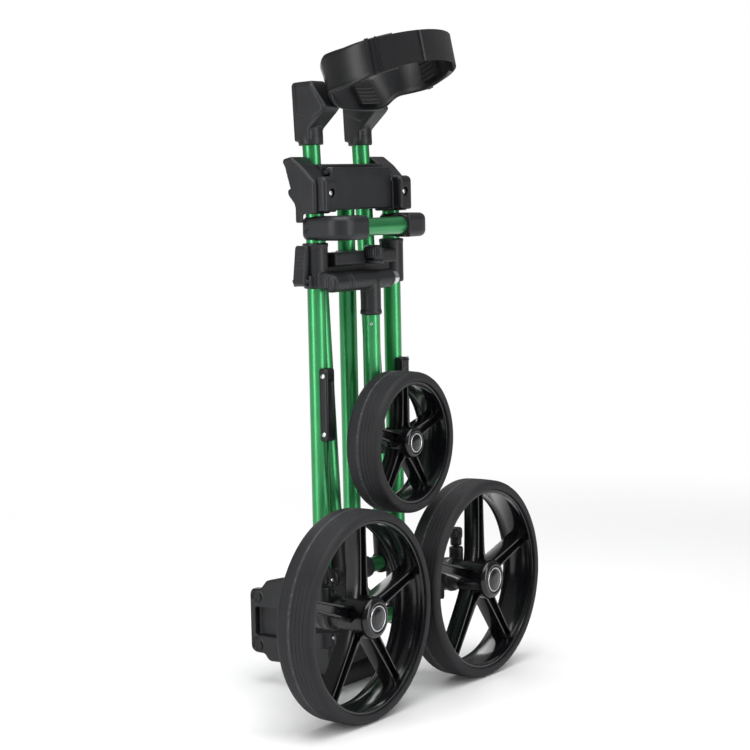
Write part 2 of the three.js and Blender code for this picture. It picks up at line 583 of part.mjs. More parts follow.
// A wall that follows the ring between two angles (degrees), from one offset outwards to another.
// The trim shortens it at top and bottom.
const ringWall = (from, to, inner, outer, trim = 0, steps = 40) => {
  const rows = [];
  const step = THREE.MathUtils.degToRad(0.5);
  for (let i = 0; i <= steps; i += 1) {
    const phi = THREE.MathUtils.degToRad(from + (to - from) * (i / steps));
    const at = cradleBand(phi);
    const ahead = cradleBand(phi + step);
    const behind = cradleBand(phi - step);
    const out = v(ahead.y - behind.y, behind.x - ahead.x, 0).normalize();
    const rise = at.half - trim;
    const shift = at.lean * (rise / at.half);
    const low = v(at.x, at.y - shift, at.z - rise);
    const high = v(at.x, at.y + shift, at.z + rise);
    rows.push([
      low.clone().addScaledVector(out, inner), low.clone().addScaledVector(out, outer),
      high.clone().addScaledVector(out, outer), high.clone().addScaledVector(out, inner),
    ]);
  }
  const faces = [];
  const quad = (a, b, c, d) => faces.push(a, b, c, a, c, d);
  for (let i = 0; i < steps; i += 1) {
    for (let j = 0; j < 4; j += 1) {
      const k = (j + 1) % 4;
      quad(rows[i][j], rows[i][k], rows[i + 1][k], rows[i + 1][j]);
    }
  }
  quad(rows[0][3], rows[0][2], rows[0][1], rows[0][0]);
  quad(rows[steps][0], rows[steps][1], rows[steps][2], rows[steps][3]);
  return solidOf(new THREE.BufferGeometry().setFromPoints(faces));
};
const ring = body();
const RING_FACE = CRADLE_WALL / 2;
const PAD_THICK = 8;
const pad = (from, to, trim, steps) => (
  ringWall(from, to, -RING_FACE - GAP - PAD_THICK, -RING_FACE - GAP, trim, steps)
);
const strap = ringWall(203, 358, RING_FACE + GAP, RING_FACE + GAP + STRAP_WALL, 1.5, 32);
add(ring, 'cradle_ring', ringWall(-45, 225, -RING_FACE, RING_FACE, 0, 48), BLACK);
add(ring, 'cradle_strap', strap, WEBBING);
add(ring, 'cradle_pad_back', pad(64, 92, 8, 6), RUBBER);
add(ring, 'cradle_pad_left', pad(181, 200, 10, 5), RUBBER);
add(ring, 'cradle_pad_right', pad(-20, -1, 10, 5), RUBBER);

// ---------------------------------------------------------------- wheels
// A wheel is built about its own axis, outer face at y = 0 and the rest of it towards +Y.
const onAxis = (y) => v(0, y, 0);
const tyre = (r, width) => {
  const bead = r - TYRE_DEPTH + GAP;
  const shoulder = 7;
  const profile = [
    [bead, 1], [r - shoulder, 0], [r, shoulder], [r, width - shoulder], [r - shoulder, width],
    [bead, width - 1], [bead, 1],
  ];
  return turned(profile, onAxis(0), onAxis(width), WHEEL_ROUND);
};
// The rim of a moulded wheel runs into its spokes. A split one has them apart, just short of its flats.
const wheel = (group, name, { r, width, hub_r, hub_face, hub_back, spoke_face, spoke_back, split }) => {
  const rim_outer = r - TYRE_DEPTH;
  const rim_inner = rim_outer - 4;
  const cap_r = hub_r * 0.75;
  const barrel = pipe(onAxis(0.5), onAxis(width - 0.5), rim_outer, rim_inner, WHEEL_ROUND);
  const hub = softRod(onAxis(hub_face), onAxis(hub_back), hub_r, 2.5);
  const reach = split ? rim_inner * Math.cos(Math.PI / WHEEL_ROUND) - 2 * GAP : rim_outer - 2;
  const taper = outlineOf([[-10, hub_r - 6], [10, hub_r - 6], [7, reach], [-7, reach]]);
  const spoke = slab(taper, 'y', width * spoke_face, width * spoke_back, 1.5);
  const turns = Array.from({ length: SPOKE_COUNT }, (_, i) => (360 / SPOKE_COUNT) * i);
  const bore = rod(onAxis(hub_face + 3), onAxis(hub_back + 5), AXLE_R + RUN);
  const seat = rod(onAxis(hub_face - 5), onAxis(hub_face + 2), cap_r + GAP);
  const star = union(hub, ...turns.map((turn) => spoke.rotate([0, turn, 0])));
  add(group, `${name}_tyre`, tyre(r, width), TYRE);
  add(group, `${name}_rim`, split ? barrel : cut(union(barrel, star), bore, seat), GLOSS);
  if (split) add(group, `${name}_spokes`, cut(star, bore, seat), GLOSS);

  const cap_profile = [[0, 0], [cap_r * 0.7, 0.3], [cap_r - 1, 1.2], [cap_r, 2.4], [cap_r, 3.4], [0, 3.4]];
  add(group, `${name}_cap`, turned(cap_profile, onAxis(hub_face - 1.8), onAxis(hub_face + 5)), GLOSS);
};

const carrier = (side) => {
  const x = side * MAIN_X;
  const wx = side * REAR_WHEEL_X;
  const lx = side * LOCK_X;
  const low = LOWER_BAR_Z + TEE_HALF + 0.4;
  const high = UPPER_BAR_Z - TEE_HALF - 0.4;
  const axle_point = (y) => v(wx, y, REAR_WHEEL_R);
  const sleeve = softRod(barPoint(x, low), barPoint(x, high), TEE_R + 0.5, 1.5);
  const housing = softRod(axle_point(HOUSING_NEAR_Y), axle_point(HOUSING_FAR_Y), HOUSING_R, 3);
  const nose = softRod(axle_point(HUB_BACK + 3), axle_point(HOUSING_NEAR_Y + 5), HOUSING_R - 5, 1.5);
  const link = outlineOf([
    [x, MAIN_Y + 15], [x - side * 6, MAIN_Y - 14], [wx - side * 20, HOUSING_NEAR_Y + 7],
    [wx + side * 4, HOUSING_FAR_Y - 2],
  ]);
  const web = slab(link, 'z', low + 3, high - 3, 1);
  const post = softRod(v(lx, LOCK_Y, REAR_WHEEL_R), v(lx, LOCK_Y, LOCK_FOOT - 2), LOCK_R + 2, 1);
  const tube_bore = rod(barPoint(x, low - 2), barPoint(x, high + 2), TUBE_R + RUN);
  const axle_bore = rod(axle_point(HUB_BACK), axle_point(HOUSING_FAR_Y - 6), AXLE_R + GAP);
  const lock_bore = rod(v(lx, LOCK_Y, LOCK_FOOT - 12), v(lx, LOCK_Y, LOCK_FOOT), STEM_R + RUN);
  return cut(union(sleeve, housing, nose, web, post), tube_bore, axle_bore, lock_bore);
};
const lockKnob = (side) => {
  const at = (z) => v(side * LOCK_X, LOCK_Y, z);
  const grip = [
    [0, 0], [LOCK_R - 2, 0], [LOCK_R, 2], [LOCK_R, 10], [LOCK_R + 1.5, 13], [LOCK_R + 1.5, 23],
    [LOCK_R - 1, 27], [0, 27],
  ];
  const stem = rod(at(LOCK_FOOT - 10), at(LOCK_FOOT + 4), STEM_R);
  return union(turned(grip, at(LOCK_FOOT), at(LOCK_FOOT + 27)), stem);
};

for (const [name, side] of SIDES) {
  const carrierBody = body();
  const axle_ends = [HUB_FACE + 4, HOUSING_FAR_Y - 6 - GAP].map((y) => (
    v(side * REAR_WHEEL_X, y, REAR_WHEEL_R)
  ));
  add(carrierBody, `wheel_carrier_${name}`, carrier(side), BLACK);
  add(carrierBody, `rear_axle_${name}`, rod(...axle_ends, AXLE_R), STEEL);
  add(body(), `lock_knob_${name}`, lockKnob(side), BLACK);
  wheel(body(side * REAR_WHEEL_X, 0, REAR_WHEEL_R), `rear_wheel_${name}`, {
    r: REAR_WHEEL_R,
    width: REAR_WHEEL_WIDTH,
    hub_r: 29,
    hub_face: HUB_FACE,
    hub_back: HUB_BACK,
    spoke_face: 0.25,
    spoke_back: 0.7,
    split: true,
  });
}

// ---------------------------------------------------------------- front arm and front wheel
const arm = body();
const armPoint = (z) => v(0, PIVOT_Y, z);
const ARM_TUBE_TOP = PIVOT_Z - 12;
const armTee = () => {
  const sleeve = softRod(pivotPoint(TEE_LEFT_X), pivotPoint(TEE_RIGHT_X), BOSS_R, 1.5);
  const cup = softRod(armPoint(ARM_SOCKET_FOOT), armPoint(PIVOT_Z), TUBE_R + 2, 2);
  const pin_bore = rod(pivotPoint(-MAIN_X), pivotPoint(MAIN_X), PIVOT_PIN_R + RUN);
  return cut(union(sleeve, cup), pin_bore, tubeBore(0, PIVOT_Y, ARM_SOCKET_FOOT - 2, ARM_TUBE_TOP));
};
add(arm, 'arm_tee', armTee(), BLACK);
add(arm, 'arm_tube', tube(armPoint(ARM_TUBE_FOOT), armPoint(ARM_TUBE_TOP - GAP)), GREEN);

const FRONT_HUB_BACK = FRONT_WHEEL_WIDTH - 5;
const armEnd = () => {
  const wheel_point = (y) => v(0, y, FRONT_WHEEL_Z);
  const cup = softRod(armPoint(FRONT_WHEEL_Z - 20), armPoint(ARM_TUBE_FOOT + 26), TUBE_R + 3, 2);
  const boss = softRod(wheel_point(FRONT_WHEEL_FACE_Y + FRONT_HUB_BACK + 2), wheel_point(PIVOT_Y), 15, 1.5);
  const stub = rod(wheel_point(FRONT_WHEEL_FACE_Y + 5), wheel_point(PIVOT_Y), AXLE_R);
  return cut(union(cup, boss, stub), tubeBore(0, PIVOT_Y, ARM_TUBE_FOOT - GAP, ARM_TUBE_FOOT + 30));
};
add(arm, 'arm_end', armEnd(), BLACK);
wheel(body(0, FRONT_WHEEL_FACE_Y, FRONT_WHEEL_Z), 'front_wheel', {
  r: FRONT_WHEEL_R,
  width: FRONT_WHEEL_WIDTH,
  hub_r: 22,
  hub_face: 0.4,
  hub_back: FRONT_HUB_BACK,
  spoke_face: 0.33,
  spoke_back: 0.75,
  split: false,
});

// ---------------------------------------------------------------- origin at the middle of the box's bottom
trolley.updateMatrixWorld(true);
const box = new THREE.Box3().setFromObject(trolley, true);
trolley.position.set(-(box.min.x + box.max.x) / 2, -(box.min.y + box.max.y) / 2, -box.min.z);
trolley.updateMatrixWorld(true);

export default trolley;
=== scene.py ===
"""Looks of a folding golf push trolley that stands folded: the shape and finish of each visible piece."""
import math

import bmesh
import bpy
import numpy as np
from bpy.props import FloatProperty, FloatVectorProperty, IntProperty, PointerProperty
from mathutils import Matrix, Vector


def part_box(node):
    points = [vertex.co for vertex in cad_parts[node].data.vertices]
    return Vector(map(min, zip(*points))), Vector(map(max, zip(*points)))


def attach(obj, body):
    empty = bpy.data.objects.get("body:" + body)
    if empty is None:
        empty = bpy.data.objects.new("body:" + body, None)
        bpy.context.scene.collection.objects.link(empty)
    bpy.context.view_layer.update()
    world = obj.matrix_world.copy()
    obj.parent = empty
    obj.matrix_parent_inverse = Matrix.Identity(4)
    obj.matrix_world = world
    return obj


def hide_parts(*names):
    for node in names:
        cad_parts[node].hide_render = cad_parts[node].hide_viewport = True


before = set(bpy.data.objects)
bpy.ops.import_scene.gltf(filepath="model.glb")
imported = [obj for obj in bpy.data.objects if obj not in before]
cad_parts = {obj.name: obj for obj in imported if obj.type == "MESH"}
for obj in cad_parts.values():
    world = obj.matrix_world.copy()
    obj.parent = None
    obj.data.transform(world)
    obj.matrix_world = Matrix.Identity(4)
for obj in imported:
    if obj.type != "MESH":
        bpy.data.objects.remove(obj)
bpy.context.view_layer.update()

bl_info = {
    "name": "Folding Golf Push Trolley",
    "version": (1, 0, 0),
    "blender": (4, 5, 0),
    "location": "3D View > Sidebar > Trolley",
    "description": "Builds the detailed pieces, finishes and stage of a folded golf push trolley",
    "category": "Add Mesh",
}

# ---------------------------------------------------------------- places, in millimetres
# Shapes are worked out in the maker's frame: X across, Y from the rear wheels' outer faces, Z up.
MM = 0.001
SIDES = (("left", -1), ("right", 1))


def middle(node):
    """Middle of a node's box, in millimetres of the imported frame."""
    low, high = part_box(node)
    return np.array((low + high) / 2) / MM


def reach(node):
    """Size of a node's box along X, Y and Z, in millimetres."""
    low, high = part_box(node)
    return np.array(high - low) / MM


Y_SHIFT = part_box("rear_wheel_left_tyre")[0].y / MM
MAIN_X = middle("main_tube_right")[0]
MAIN_Y = middle("main_tube_right")[1] - Y_SHIFT
TUBE_RADIUS = reach("main_tube_right")[0] / 2
LOWER_BAR_Z = middle("lower_crossbar")[2]
UPPER_BAR_Z = middle("upper_crossbar")[2]
BAR_RADIUS = reach("upper_crossbar")[2] / 2
SOCKET_WALL = 4.0
TEE_HALF = 15.0
BAG_X = middle("bag_knuckle_right")[0]
BAG_LEAN = math.radians(2.65)
PIVOT_Y = middle("arm_tube")[1] - Y_SHIFT
PIVOT_Z = middle("arm_pivot_pin")[2]
HANDLE_Y = middle("handle_bar")[1] - Y_SHIFT
HANDLE_Z = middle("handle_bar")[2]
PADDLE_FRONT_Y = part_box("latch_paddle")[0].y / MM - Y_SHIFT
PADDLE_AXLE_Z = 742.0
EAR_BOLT_X = MAIN_X - 3
EAR_BOLT_Z = 714.0
BRACKET_PIN_Y = 267.5
BRACKET_PINS = (("upper", 130), ("lower", 58.5))
GUARD_LOW, GUARD_HIGH = (corner.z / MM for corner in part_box("tube_guard_right"))
GUARD_SCREWS = (GUARD_LOW + 10, GUARD_HIGH - 11)
BUTTON_X = middle("release_button")[0]
BUTTON_Y = middle("release_button")[1] - Y_SHIFT
SHELF_Z = PIVOT_Z + 22.2
BOSS_RADIUS = 13.5
LOCK_X = middle("lock_knob_right")[0]
LOCK_Y = middle("lock_knob_right")[1] - Y_SHIFT
CRADLE_RADIUS = reach("cradle_ring")[0] / 2 - 2.5
CRADLE_MIDDLE_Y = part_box("cradle_ring")[1].y / MM - Y_SHIFT - 14.5 - 0.6 * CRADLE_RADIUS
CRADLE_MIDDLE_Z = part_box("cradle_ring")[0].z / MM + 55.5
CRADLE_DEPTH = 86.0
BAND_HALF = 25.5
FRONT_RISE = 28.5
BACK_DROP = 17.0
BACK_DIP = 16.5
KNOB_STEM_RADIUS = 4.0
AIM_X, AIM_Z = -133.65, 471.77


# ---------------------------------------------------------------- shapes
def unit(vector):
    """The vector at length one."""
    vector = np.asarray(vector, float)
    return vector / np.linalg.norm(vector)


def skin(rings, closed=False):
    """Quads between neighbours of an (m, n, 3) array of rings. Open rows end in a flat face; with closed
    set, the last ring joins the first instead."""
    rows, around = rings.shape[:2]
    i, j = np.meshgrid(np.arange(rows if closed else rows - 1), np.arange(around), indexing="ij")
    after, beside = (i + 1) % rows, (j + 1) % around
    quads = np.stack([i * around + j, i * around + beside, after * around + beside, after * around + j], -1)
    faces = quads.reshape(-1, 4).tolist()
    if not closed:
        faces += [np.arange(around)[::-1].tolist(), ((rows - 1) * around + np.arange(around)).tolist()]
    return rings.reshape(-1, 3), faces


def joined(*shells):
    """Several shells as one list of points and faces."""
    starts = np.cumsum([0] + [len(points) for points, _ in shells])
    faces = [[start + k for k in face] for start, (_, rows) in zip(starts, shells) for face in rows]
    return np.vstack([points for points, _ in shells]), faces


def axes_about(along):
    """Two unit vectors across a direction, with the direction between them and right-handed."""
    axis = unit(along)
    side = unit(np.cross(axis, (0, 0, 1) if abs(axis[2]) < 0.9 else (1, 0, 0)))
    return axis, side, np.cross(axis, side)


def turned(profile, start, along, sides=56, closed=False, flutes=0, flute_depth=0.0, fluted=None):
    """Each (radius, height) of the profile goes round the axis: start + height * axis + radius * (cos
    turn, sin turn). Flutes take depth * (1 - cos(flutes * turn)) / 2 off the radius of the fluted rows."""
    profile = np.asarray(profile, float)
    axis, side, other = axes_about(along)
    turn = np.linspace(0, 2 * np.pi, sides, endpoint=False)
    across = np.cos(turn)[:, None] * side + np.sin(turn)[:, None] * other
    radius = np.repeat(profile[:, :1], sides, 1)
    if flutes:
        rows = np.asarray(fluted, float)[:, None]
        radius = radius - rows * flute_depth * (1 - np.cos(flutes * turn)) / 2
    rings = np.asarray(start, float) + profile[:, 1][:, None, None] * axis + radius[..., None] * across
    return skin(rings, closed)


def rod_profile(radius, length, edge, steps=5):
    """A straight side with quarter-round ends: radius - edge + edge * sin, height edge - edge * cos."""
    turn = np.linspace(0, np.pi / 2, steps)
    near = np.column_stack([radius - edge + edge * np.sin(turn), edge - edge * np.cos(turn)])
    far = np.column_stack([near[::-1, 0], length - near[::-1, 1]])
    return np.vstack([near, far])


def rod(start, end, radius, edge=0.6, sides=56):
    """A solid rod between two points."""
    along = np.subtract(end, start)
    return turned(rod_profile(radius, np.linalg.norm(along), edge), start, along, sides)


def pipe(start, end, radius, wall, sides=72, edge=0.35):
    """A tube's wall between two points: outside, rounded end, inside and back."""
    along = np.subtract(end, start)
    length = np.linalg.norm(along)
    inner = radius - wall
    profile = [(radius - edge, 0), (radius, edge), (radius, length - edge), (radius - edge, length),
               (inner + edge, length), (inner, length - edge), (inner, edge), (inner + edge, 0)]
    return turned(profile, start, along, sides, closed=True)


def soft_outline(points, radius, steps=5):
    """Each corner cut back by its radius and bridged by a circular arc: the rational curve through A, the
    corner and B, with the corner weighted by the sine of half its angle."""
    corner = np.asarray(points, float)
    back, ahead = np.roll(corner, 1, 0) - corner, np.roll(corner, -1, 0) - corner
    back_long, ahead_long = np.linalg.norm(back, axis=1), np.linalg.norm(ahead, axis=1)
    cosine = (back * ahead).sum(1) / (back_long * ahead_long)
    half = np.arccos(np.clip(cosine, -1, 1)) / 2
    cut = np.broadcast_to(np.asarray(radius, float), len(corner)) / np.maximum(np.tan(half), 0.05)
    cut = np.minimum(cut, 0.48 * np.minimum(back_long, ahead_long))
    first = corner + back / back_long[:, None] * cut[:, None]
    last = corner + ahead / ahead_long[:, None] * cut[:, None]
    t = np.linspace(0, 1, steps)[None, :, None]
    weight = np.sin(half)[:, None, None]
    share = 2 * weight * t * (1 - t)
    curve = (1 - t) ** 2 * first[:, None] + share * corner[:, None] + t ** 2 * last[:, None]
    return (curve / ((1 - t) ** 2 + share + t ** 2)).reshape(-1, 2)


def prism(outline, axis, low, high, edge=0.0, steps=4):
    """An outline carried along X, Y or Z. Near its ends it draws in by edge - edge * sin while it rises
    edge - edge * cos. Along X the outline is (y, z), along Y (x, z) and along Z (x, y)."""
    low, high = sorted((low, high))
    outline = np.asarray(outline, float)
    ahead = np.roll(outline, -1, 0)
    area = (outline[:, 0] * ahead[:, 1] - ahead[:, 0] * outline[:, 1]).sum()
    outline = outline if area > 0 else outline[::-1]
    tangent = np.roll(outline, -1, 0) - np.roll(outline, 1, 0)
    tangent /= np.maximum(np.linalg.norm(tangent, axis=1, keepdims=True), 1e-9)
    inward = np.column_stack([-tangent[:, 1], tangent[:, 0]])
    turn = np.linspace(0, np.pi / 2, steps if edge > 0 else 1)
    drawn = edge - edge * np.sin(turn)
    rise = edge - edge * np.cos(turn)
    drawn, level = np.concatenate([drawn, drawn[::-1]]), np.concatenate([low + rise, high - rise[::-1]])
    flat = outline[None] + drawn[:, None, None] * inward[None]
    height = np.broadcast_to(level[:, None, None], flat.shape[:2] + (1,))
    columns = {"x": (height, flat[..., :1], flat[..., 1:]), "y": (flat[..., :1], height, flat[..., 1:]),
               "z": (flat[..., :1], flat[..., 1:], height)}
    return skin(np.concatenate(columns[axis], -1))


def block(low, high, corner=2.0, edge=1.0):
    """A box with rounded edges, carried along X. Its ends along X may come in either order."""
    square = [(low[1], low[2]), (high[1], low[2]), (high[1], high[2]), (low[1], high[2])]
    return prism(soft_outline(square, corner), "x", low[0], high[0], edge)


def leaned(shell):
    """A shell of the bag frame's own frame, tilted back about the upper crossbar by the bag frame's lean."""
    points, faces = shell
    x, y, z = points.T
    tilt_y = y * math.cos(BAG_LEAN) + z * math.sin(BAG_LEAN) + MAIN_Y
    tilt_z = z * math.cos(BAG_LEAN) - y * math.sin(BAG_LEAN) + UPPER_BAR_Z
    return np.column_stack([x, tilt_y, tilt_z]), faces


def mirrored(shell, side):
    """The shell, or its mirror image across the middle plane for the left side."""
    points, faces = shell
    return points * (side, 1, 1), faces


# ---------------------------------------------------------------- the cradle's band
def smooth(t):
    """3 t^2 - 2 t^3 between 0 and 1."""
    t = np.clip(t, 0, 1)
    return t * t * (3 - 2 * t)


def band_at(turn):
    """Middle line of the cradle at each angle: a circle pressed flat behind, which rises to the front."""
    s = np.sin(turn)
    back = smooth((s - 0.4) / 0.5)
    flat = np.where(s > 0.3, s - 0.4 * (np.maximum(s - 0.3, 0) / 0.7) ** 2, s)
    x = CRADLE_RADIUS * np.cos(turn)
    y = CRADLE_MIDDLE_Y + np.where(s < 0, CRADLE_DEPTH, CRADLE_RADIUS) * flat
    z = CRADLE_MIDDLE_Z - np.where(s < 0, FRONT_RISE, BACK_DROP) * s - BACK_DIP * back
    half = BAND_HALF + np.where(s < 0, 3 * s, -3.5 * back)
    return x, y, z, half, 5 + 7 * back


def band_points(turn, offset, share, extra):
    """Points of the band: middle line + offset along its outward plan normal + height * (0, lean / half,
    1), where height is share * half + extra."""
    x, y, z, half, lean = band_at(turn)
    step = 1e-3
    x1, y1 = band_at(turn + step)[:2]
    x0, y0 = band_at(turn - step)[:2]
    long = np.hypot(x1 - x0, y1 - y0)
    out_x, out_y = (y1 - y0) / long, (x0 - x1) / long
    height = share * half + extra
    return np.stack(np.broadcast_arrays(
        x + out_x * offset, y + out_y * offset + lean * height / half, z + height), -1)


def band_skin(start, end, section, steps=160):
    """A closed section of (offset, share of half height, extra height) carried round the band from one
    angle to another, in degrees."""
    turn = np.radians(np.linspace(start, end, steps))[:, None]
    offset, share, extra = np.asarray(section, float).T
    return skin(band_points(turn, offset, share, extra))


def slab_section(inner, outer, trim=0.0, edge=0.5):
    """A plain wall's section between two offsets, with its four edges cut by edge."""
    top, low = -trim, trim
    return [(inner + edge, -1, low), (outer - edge, -1, low), (outer, -1, low + edge), (outer, -0.4, 0),
            (outer, 0.4, 0), (outer, 1, top - edge), (outer - edge, 1, top), (inner + edge, 1, top),
            (inner, 1, top - edge), (inner, 0.4, 0), (inner, -0.4, 0), (inner, -1, low + edge)]


# ---------------------------------------------------------------- pieces in the scene
def mesh_of(name, shell):
    """A shell's mesh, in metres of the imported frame."""
    points, faces = shell
    mesh = bpy.data.meshes.new(name)
    mesh.from_pydata(((np.asarray(points) + (0, Y_SHIFT, 0)) * MM).tolist(), [], faces)
    return mesh


def placed(name, shell, material, body, replaces=(), flat_angle=35):
    """A shell as a piece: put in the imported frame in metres, doubles merged, faces outwards, riding on its
    body, and standing for the nodes it replaces."""
    mesh = mesh_of(name, shell)
    tidy = bmesh.new()
    tidy.from_mesh(mesh)
    bmesh.ops.remove_doubles(tidy, verts=tidy.verts, dist=2e-6)
    bmesh.ops.recalc_face_normals(tidy, faces=tidy.faces)
    tidy.to_mesh(mesh)
    tidy.free()
    mesh.shade_smooth()
    mesh.set_sharp_from_angle(angle=math.radians(flat_angle))
    piece = bpy.data.objects.new(name, mesh)
    bpy.context.scene.collection.objects.link(piece)
    mesh.materials.append(material)
    if replaces:
        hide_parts(*replaces)
    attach(piece, body)
    return piece


def baked(piece):
    """Swaps a piece's mesh for the one its modifiers leave."""
    graph = bpy.context.evaluated_depsgraph_get()
    made = bpy.data.meshes.new_from_object(piece.evaluated_get(graph))
    piece.modifiers.clear()
    old, piece.data = piece.data, made
    made.name = piece.name
    bpy.data.meshes.remove(old)


def cut_away(piece, shell):
    """Takes a shell's space out of a piece."""
    mesh = mesh_of("cutter", shell)
    cutter = bpy.data.objects.new("cutter", mesh)
    bpy.context.scene.collection.objects.link(cutter)
    step = piece.modifiers.new("cut", "BOOLEAN")
    step.operation, step.solver, step.object = "DIFFERENCE", "EXACT", cutter
    step.use_self = True
    baked(piece)
    bpy.data.objects.remove(cutter)
    bpy.data.meshes.remove(mesh)


def moulded(name, shells, material, body, replaces, voxel=1.0, relax=8, cutters=()):
    """Overlapping shells fused into one moulding: remeshed to one skin, then relaxed so that every edge is
    soft and every inner corner has a fillet."""
    piece = placed(name, joined(*shells), material, body, replaces)
    if cutters:
        cut_away(piece, joined(*cutters))
    remesh = piece.modifiers.new("one skin", "REMESH")
    remesh.mode, remesh.voxel_size = "VOXEL", voxel * 1.0 * MM
    ease = piece.modifiers.new("soft edges", "SMOOTH")
    ease.factor, ease.iterations = 0.5, relax
    baked(piece)
    piece.data.shade_smooth()
    piece.data.materials.clear()
    piece.data.materials.append(material)
    return piece


# ---------------------------------------------------------------- shader maths
class Value:
    """What a node puts out. Arithmetic on a number adds its Math nodes."""

    def __init__(self, graph, socket):
        self.graph, self.socket = graph, socket

    def maths(self, operation, *others):
        """A Math node of this value and others, in that order."""
        return self.graph.node("ShaderNodeMath", {"operation": operation}, dict(enumerate((self, *others))))

    def __add__(self, other):
        return self.maths("ADD", other)

    def __mul__(self, other):
        return self.maths("MULTIPLY", other)

    def __sub__(self, other):
        return self.maths("SUBTRACT", other)

    def __rsub__(self, other):
        return self.maths("MULTIPLY", -1.0).maths("ADD", other)

    __radd__ = __add__
    __rmul__ = __mul__

    def between(self, low, high):
        """0 below low, 1 above high, and smooth between."""
        settings = {"interpolation_type": "SMOOTHSTEP"}
        return self.graph.node("ShaderNodeMapRange", settings, {0: self, 1: low, 2: high, 3: 0.0, 4: 1.0})


class Graph:
    """A material's nodes, or the world's."""

    def __init__(self, owner):
        owner.use_nodes = True
        self.owner, self.tree = owner, owner.node_tree
        self.tree.nodes.clear()

    def node(self, kind, settings=None, inputs=None, output=0):
        """Adds a node: its settings first, then the values or links of its sockets."""
        made = self.tree.nodes.new(kind)
        for key, value in (settings or {}).items():
            setattr(made, key, value)
        for key, value in (inputs or {}).items():
            if isinstance(value, Value):
                self.tree.links.new(value.socket, made.inputs[key])
            else:
                made.inputs[key].default_value = value
        return Value(self, made.outputs[output]) if made.outputs else None

    def place(self, scale=(1, 1, 1)):
        """Object coordinates in metres, stretched by scale."""
        here = self.node("ShaderNodeTexCoord", output="Object")
        return self.node("ShaderNodeMapping", inputs={"Vector": here, "Scale": scale})

    def noise(self, scale, detail=3.0, stretch=(1, 1, 1)):
        """Noise with scale features to the metre, from 0 to 1."""
        inputs = {"Vector": self.place(stretch), "Scale": scale, "Detail": detail}
        return self.node("ShaderNodeTexNoise", inputs=inputs)

    def mix(self, share, first, second):
        """The first colour at share 0 and the second at 1."""
        settings = {"data_type": "RGBA", "clamp_factor": True}
        return self.node("ShaderNodeMix", settings, {0: share, 6: first, 7: second}, 2)

    def bump(self, height, depth, strength=1.0):
        """A normal from a height from 0 to 1 that stands for depth in metres."""
        return self.node("ShaderNodeBump", inputs={"Height": height, "Distance": depth, "Strength": strength})

    def finish(self, **sockets):
        """The surface: a Principled shader with these sockets, named with _ for a space."""
        inputs = {key.replace("_", " "): value for key, value in sockets.items()}
        shader = self.node("ShaderNodeBsdfPrincipled", inputs=inputs)
        self.node("ShaderNodeOutputMaterial", inputs={"Surface": shader})
        return self.owner


def graph_of(name):
    """A new material's nodes."""
    return Graph(bpy.data.materials.new(name))


def tone(colour, factor=1.0):
    """A colour made brighter or darker, with full alpha."""
    return (*(min(1.0, c * factor) for c in tuple(colour)[:3]), 1.0)


def anodised(name, colour, along):
    """Satin anodised aluminium: faint draw lines along the tube, clouding of the dye, rubbed marks."""
    g = graph_of(name)
    stretch = {"x": (0.02, 1, 1), "z": (1, 1, 0.02)}[along]
    lines = g.noise(2600, 2, stretch)
    cloud = g.noise(22, 4)
    rub = g.noise(160, 6, {"x": (0.2, 1, 1), "z": (1, 1, 0.2)}[along]).between(0.56, 0.72)
    base = g.mix(cloud.between(0.3, 0.7), tone(colour, 0.93), tone(colour, 1.07))
    base = g.mix(rub * 0.06, base, tone((0.22, 0.45, 0.28)))
    rough = 0.34 + lines * 0.04 + rub * 0.05
    return g.finish(Base_Color=base, Metallic=0.85, Roughness=rough, Coat_Weight=0.3, Coat_Roughness=0.2,
                    Normal=g.bump(lines, 2e-5, 0.04))


def plastic(name, colour, rough=0.36, grain=0.35, edge_wear_highlight=0.25):
    """Moulded plastic: a fine spark-eroded grain, slow changes of tone, and convex edges painted paler,
    partly as rubbed wear and partly as a painted highlight.
    """
    g = graph_of(name)
    fine = g.noise(1500, 3)
    cloud = g.noise(28, 4)
    smear = g.noise(90, 5, (1, 1, 0.35)).between(0.45, 0.7)
    # Painted highlight with wear: convex edges, found by pointiness, are painted paler, partly as rubbed wear
    # and partly as a painted highlight.
    edge = g.node("ShaderNodeNewGeometry", output="Pointiness").between(0.515, 0.56)
    base = g.mix(cloud.between(0.3, 0.7), tone(colour, 0.85), tone(colour, 1.18))
    base = g.mix(edge * (edge_wear_highlight * 0.5) * (0.4 + smear), base, tone(colour, 2.6))
    shine = rough + cloud * 0.08 + fine * 0.06 - smear * 0.05
    return g.finish(Base_Color=base, Roughness=shine, Specular_IOR_Level=0.36,
                    Normal=g.bump(fine, 6e-5, grain))


def gloss(name, colour):
    """Gloss black moulding: faint flow ripples, dust and hairline scuffs."""
    g = graph_of(name)
    ripple = g.noise(35, 2)
    dust = g.noise(700, 4).between(0.58, 0.75)
    scuff = g.noise(120, 6, (1, 0.25, 1)).between(0.6, 0.78)
    base = g.mix(dust * 0.2 + scuff * 0.12, tone(colour), tone((0.03, 0.031, 0.033)))
    return g.finish(Base_Color=base, Roughness=0.18 + dust * 0.16 + scuff * 0.12, Specular_IOR_Level=0.42,
                    Coat_Weight=0.1, Coat_Roughness=0.08, Normal=g.bump(ripple, 1.5e-4, 0.1))


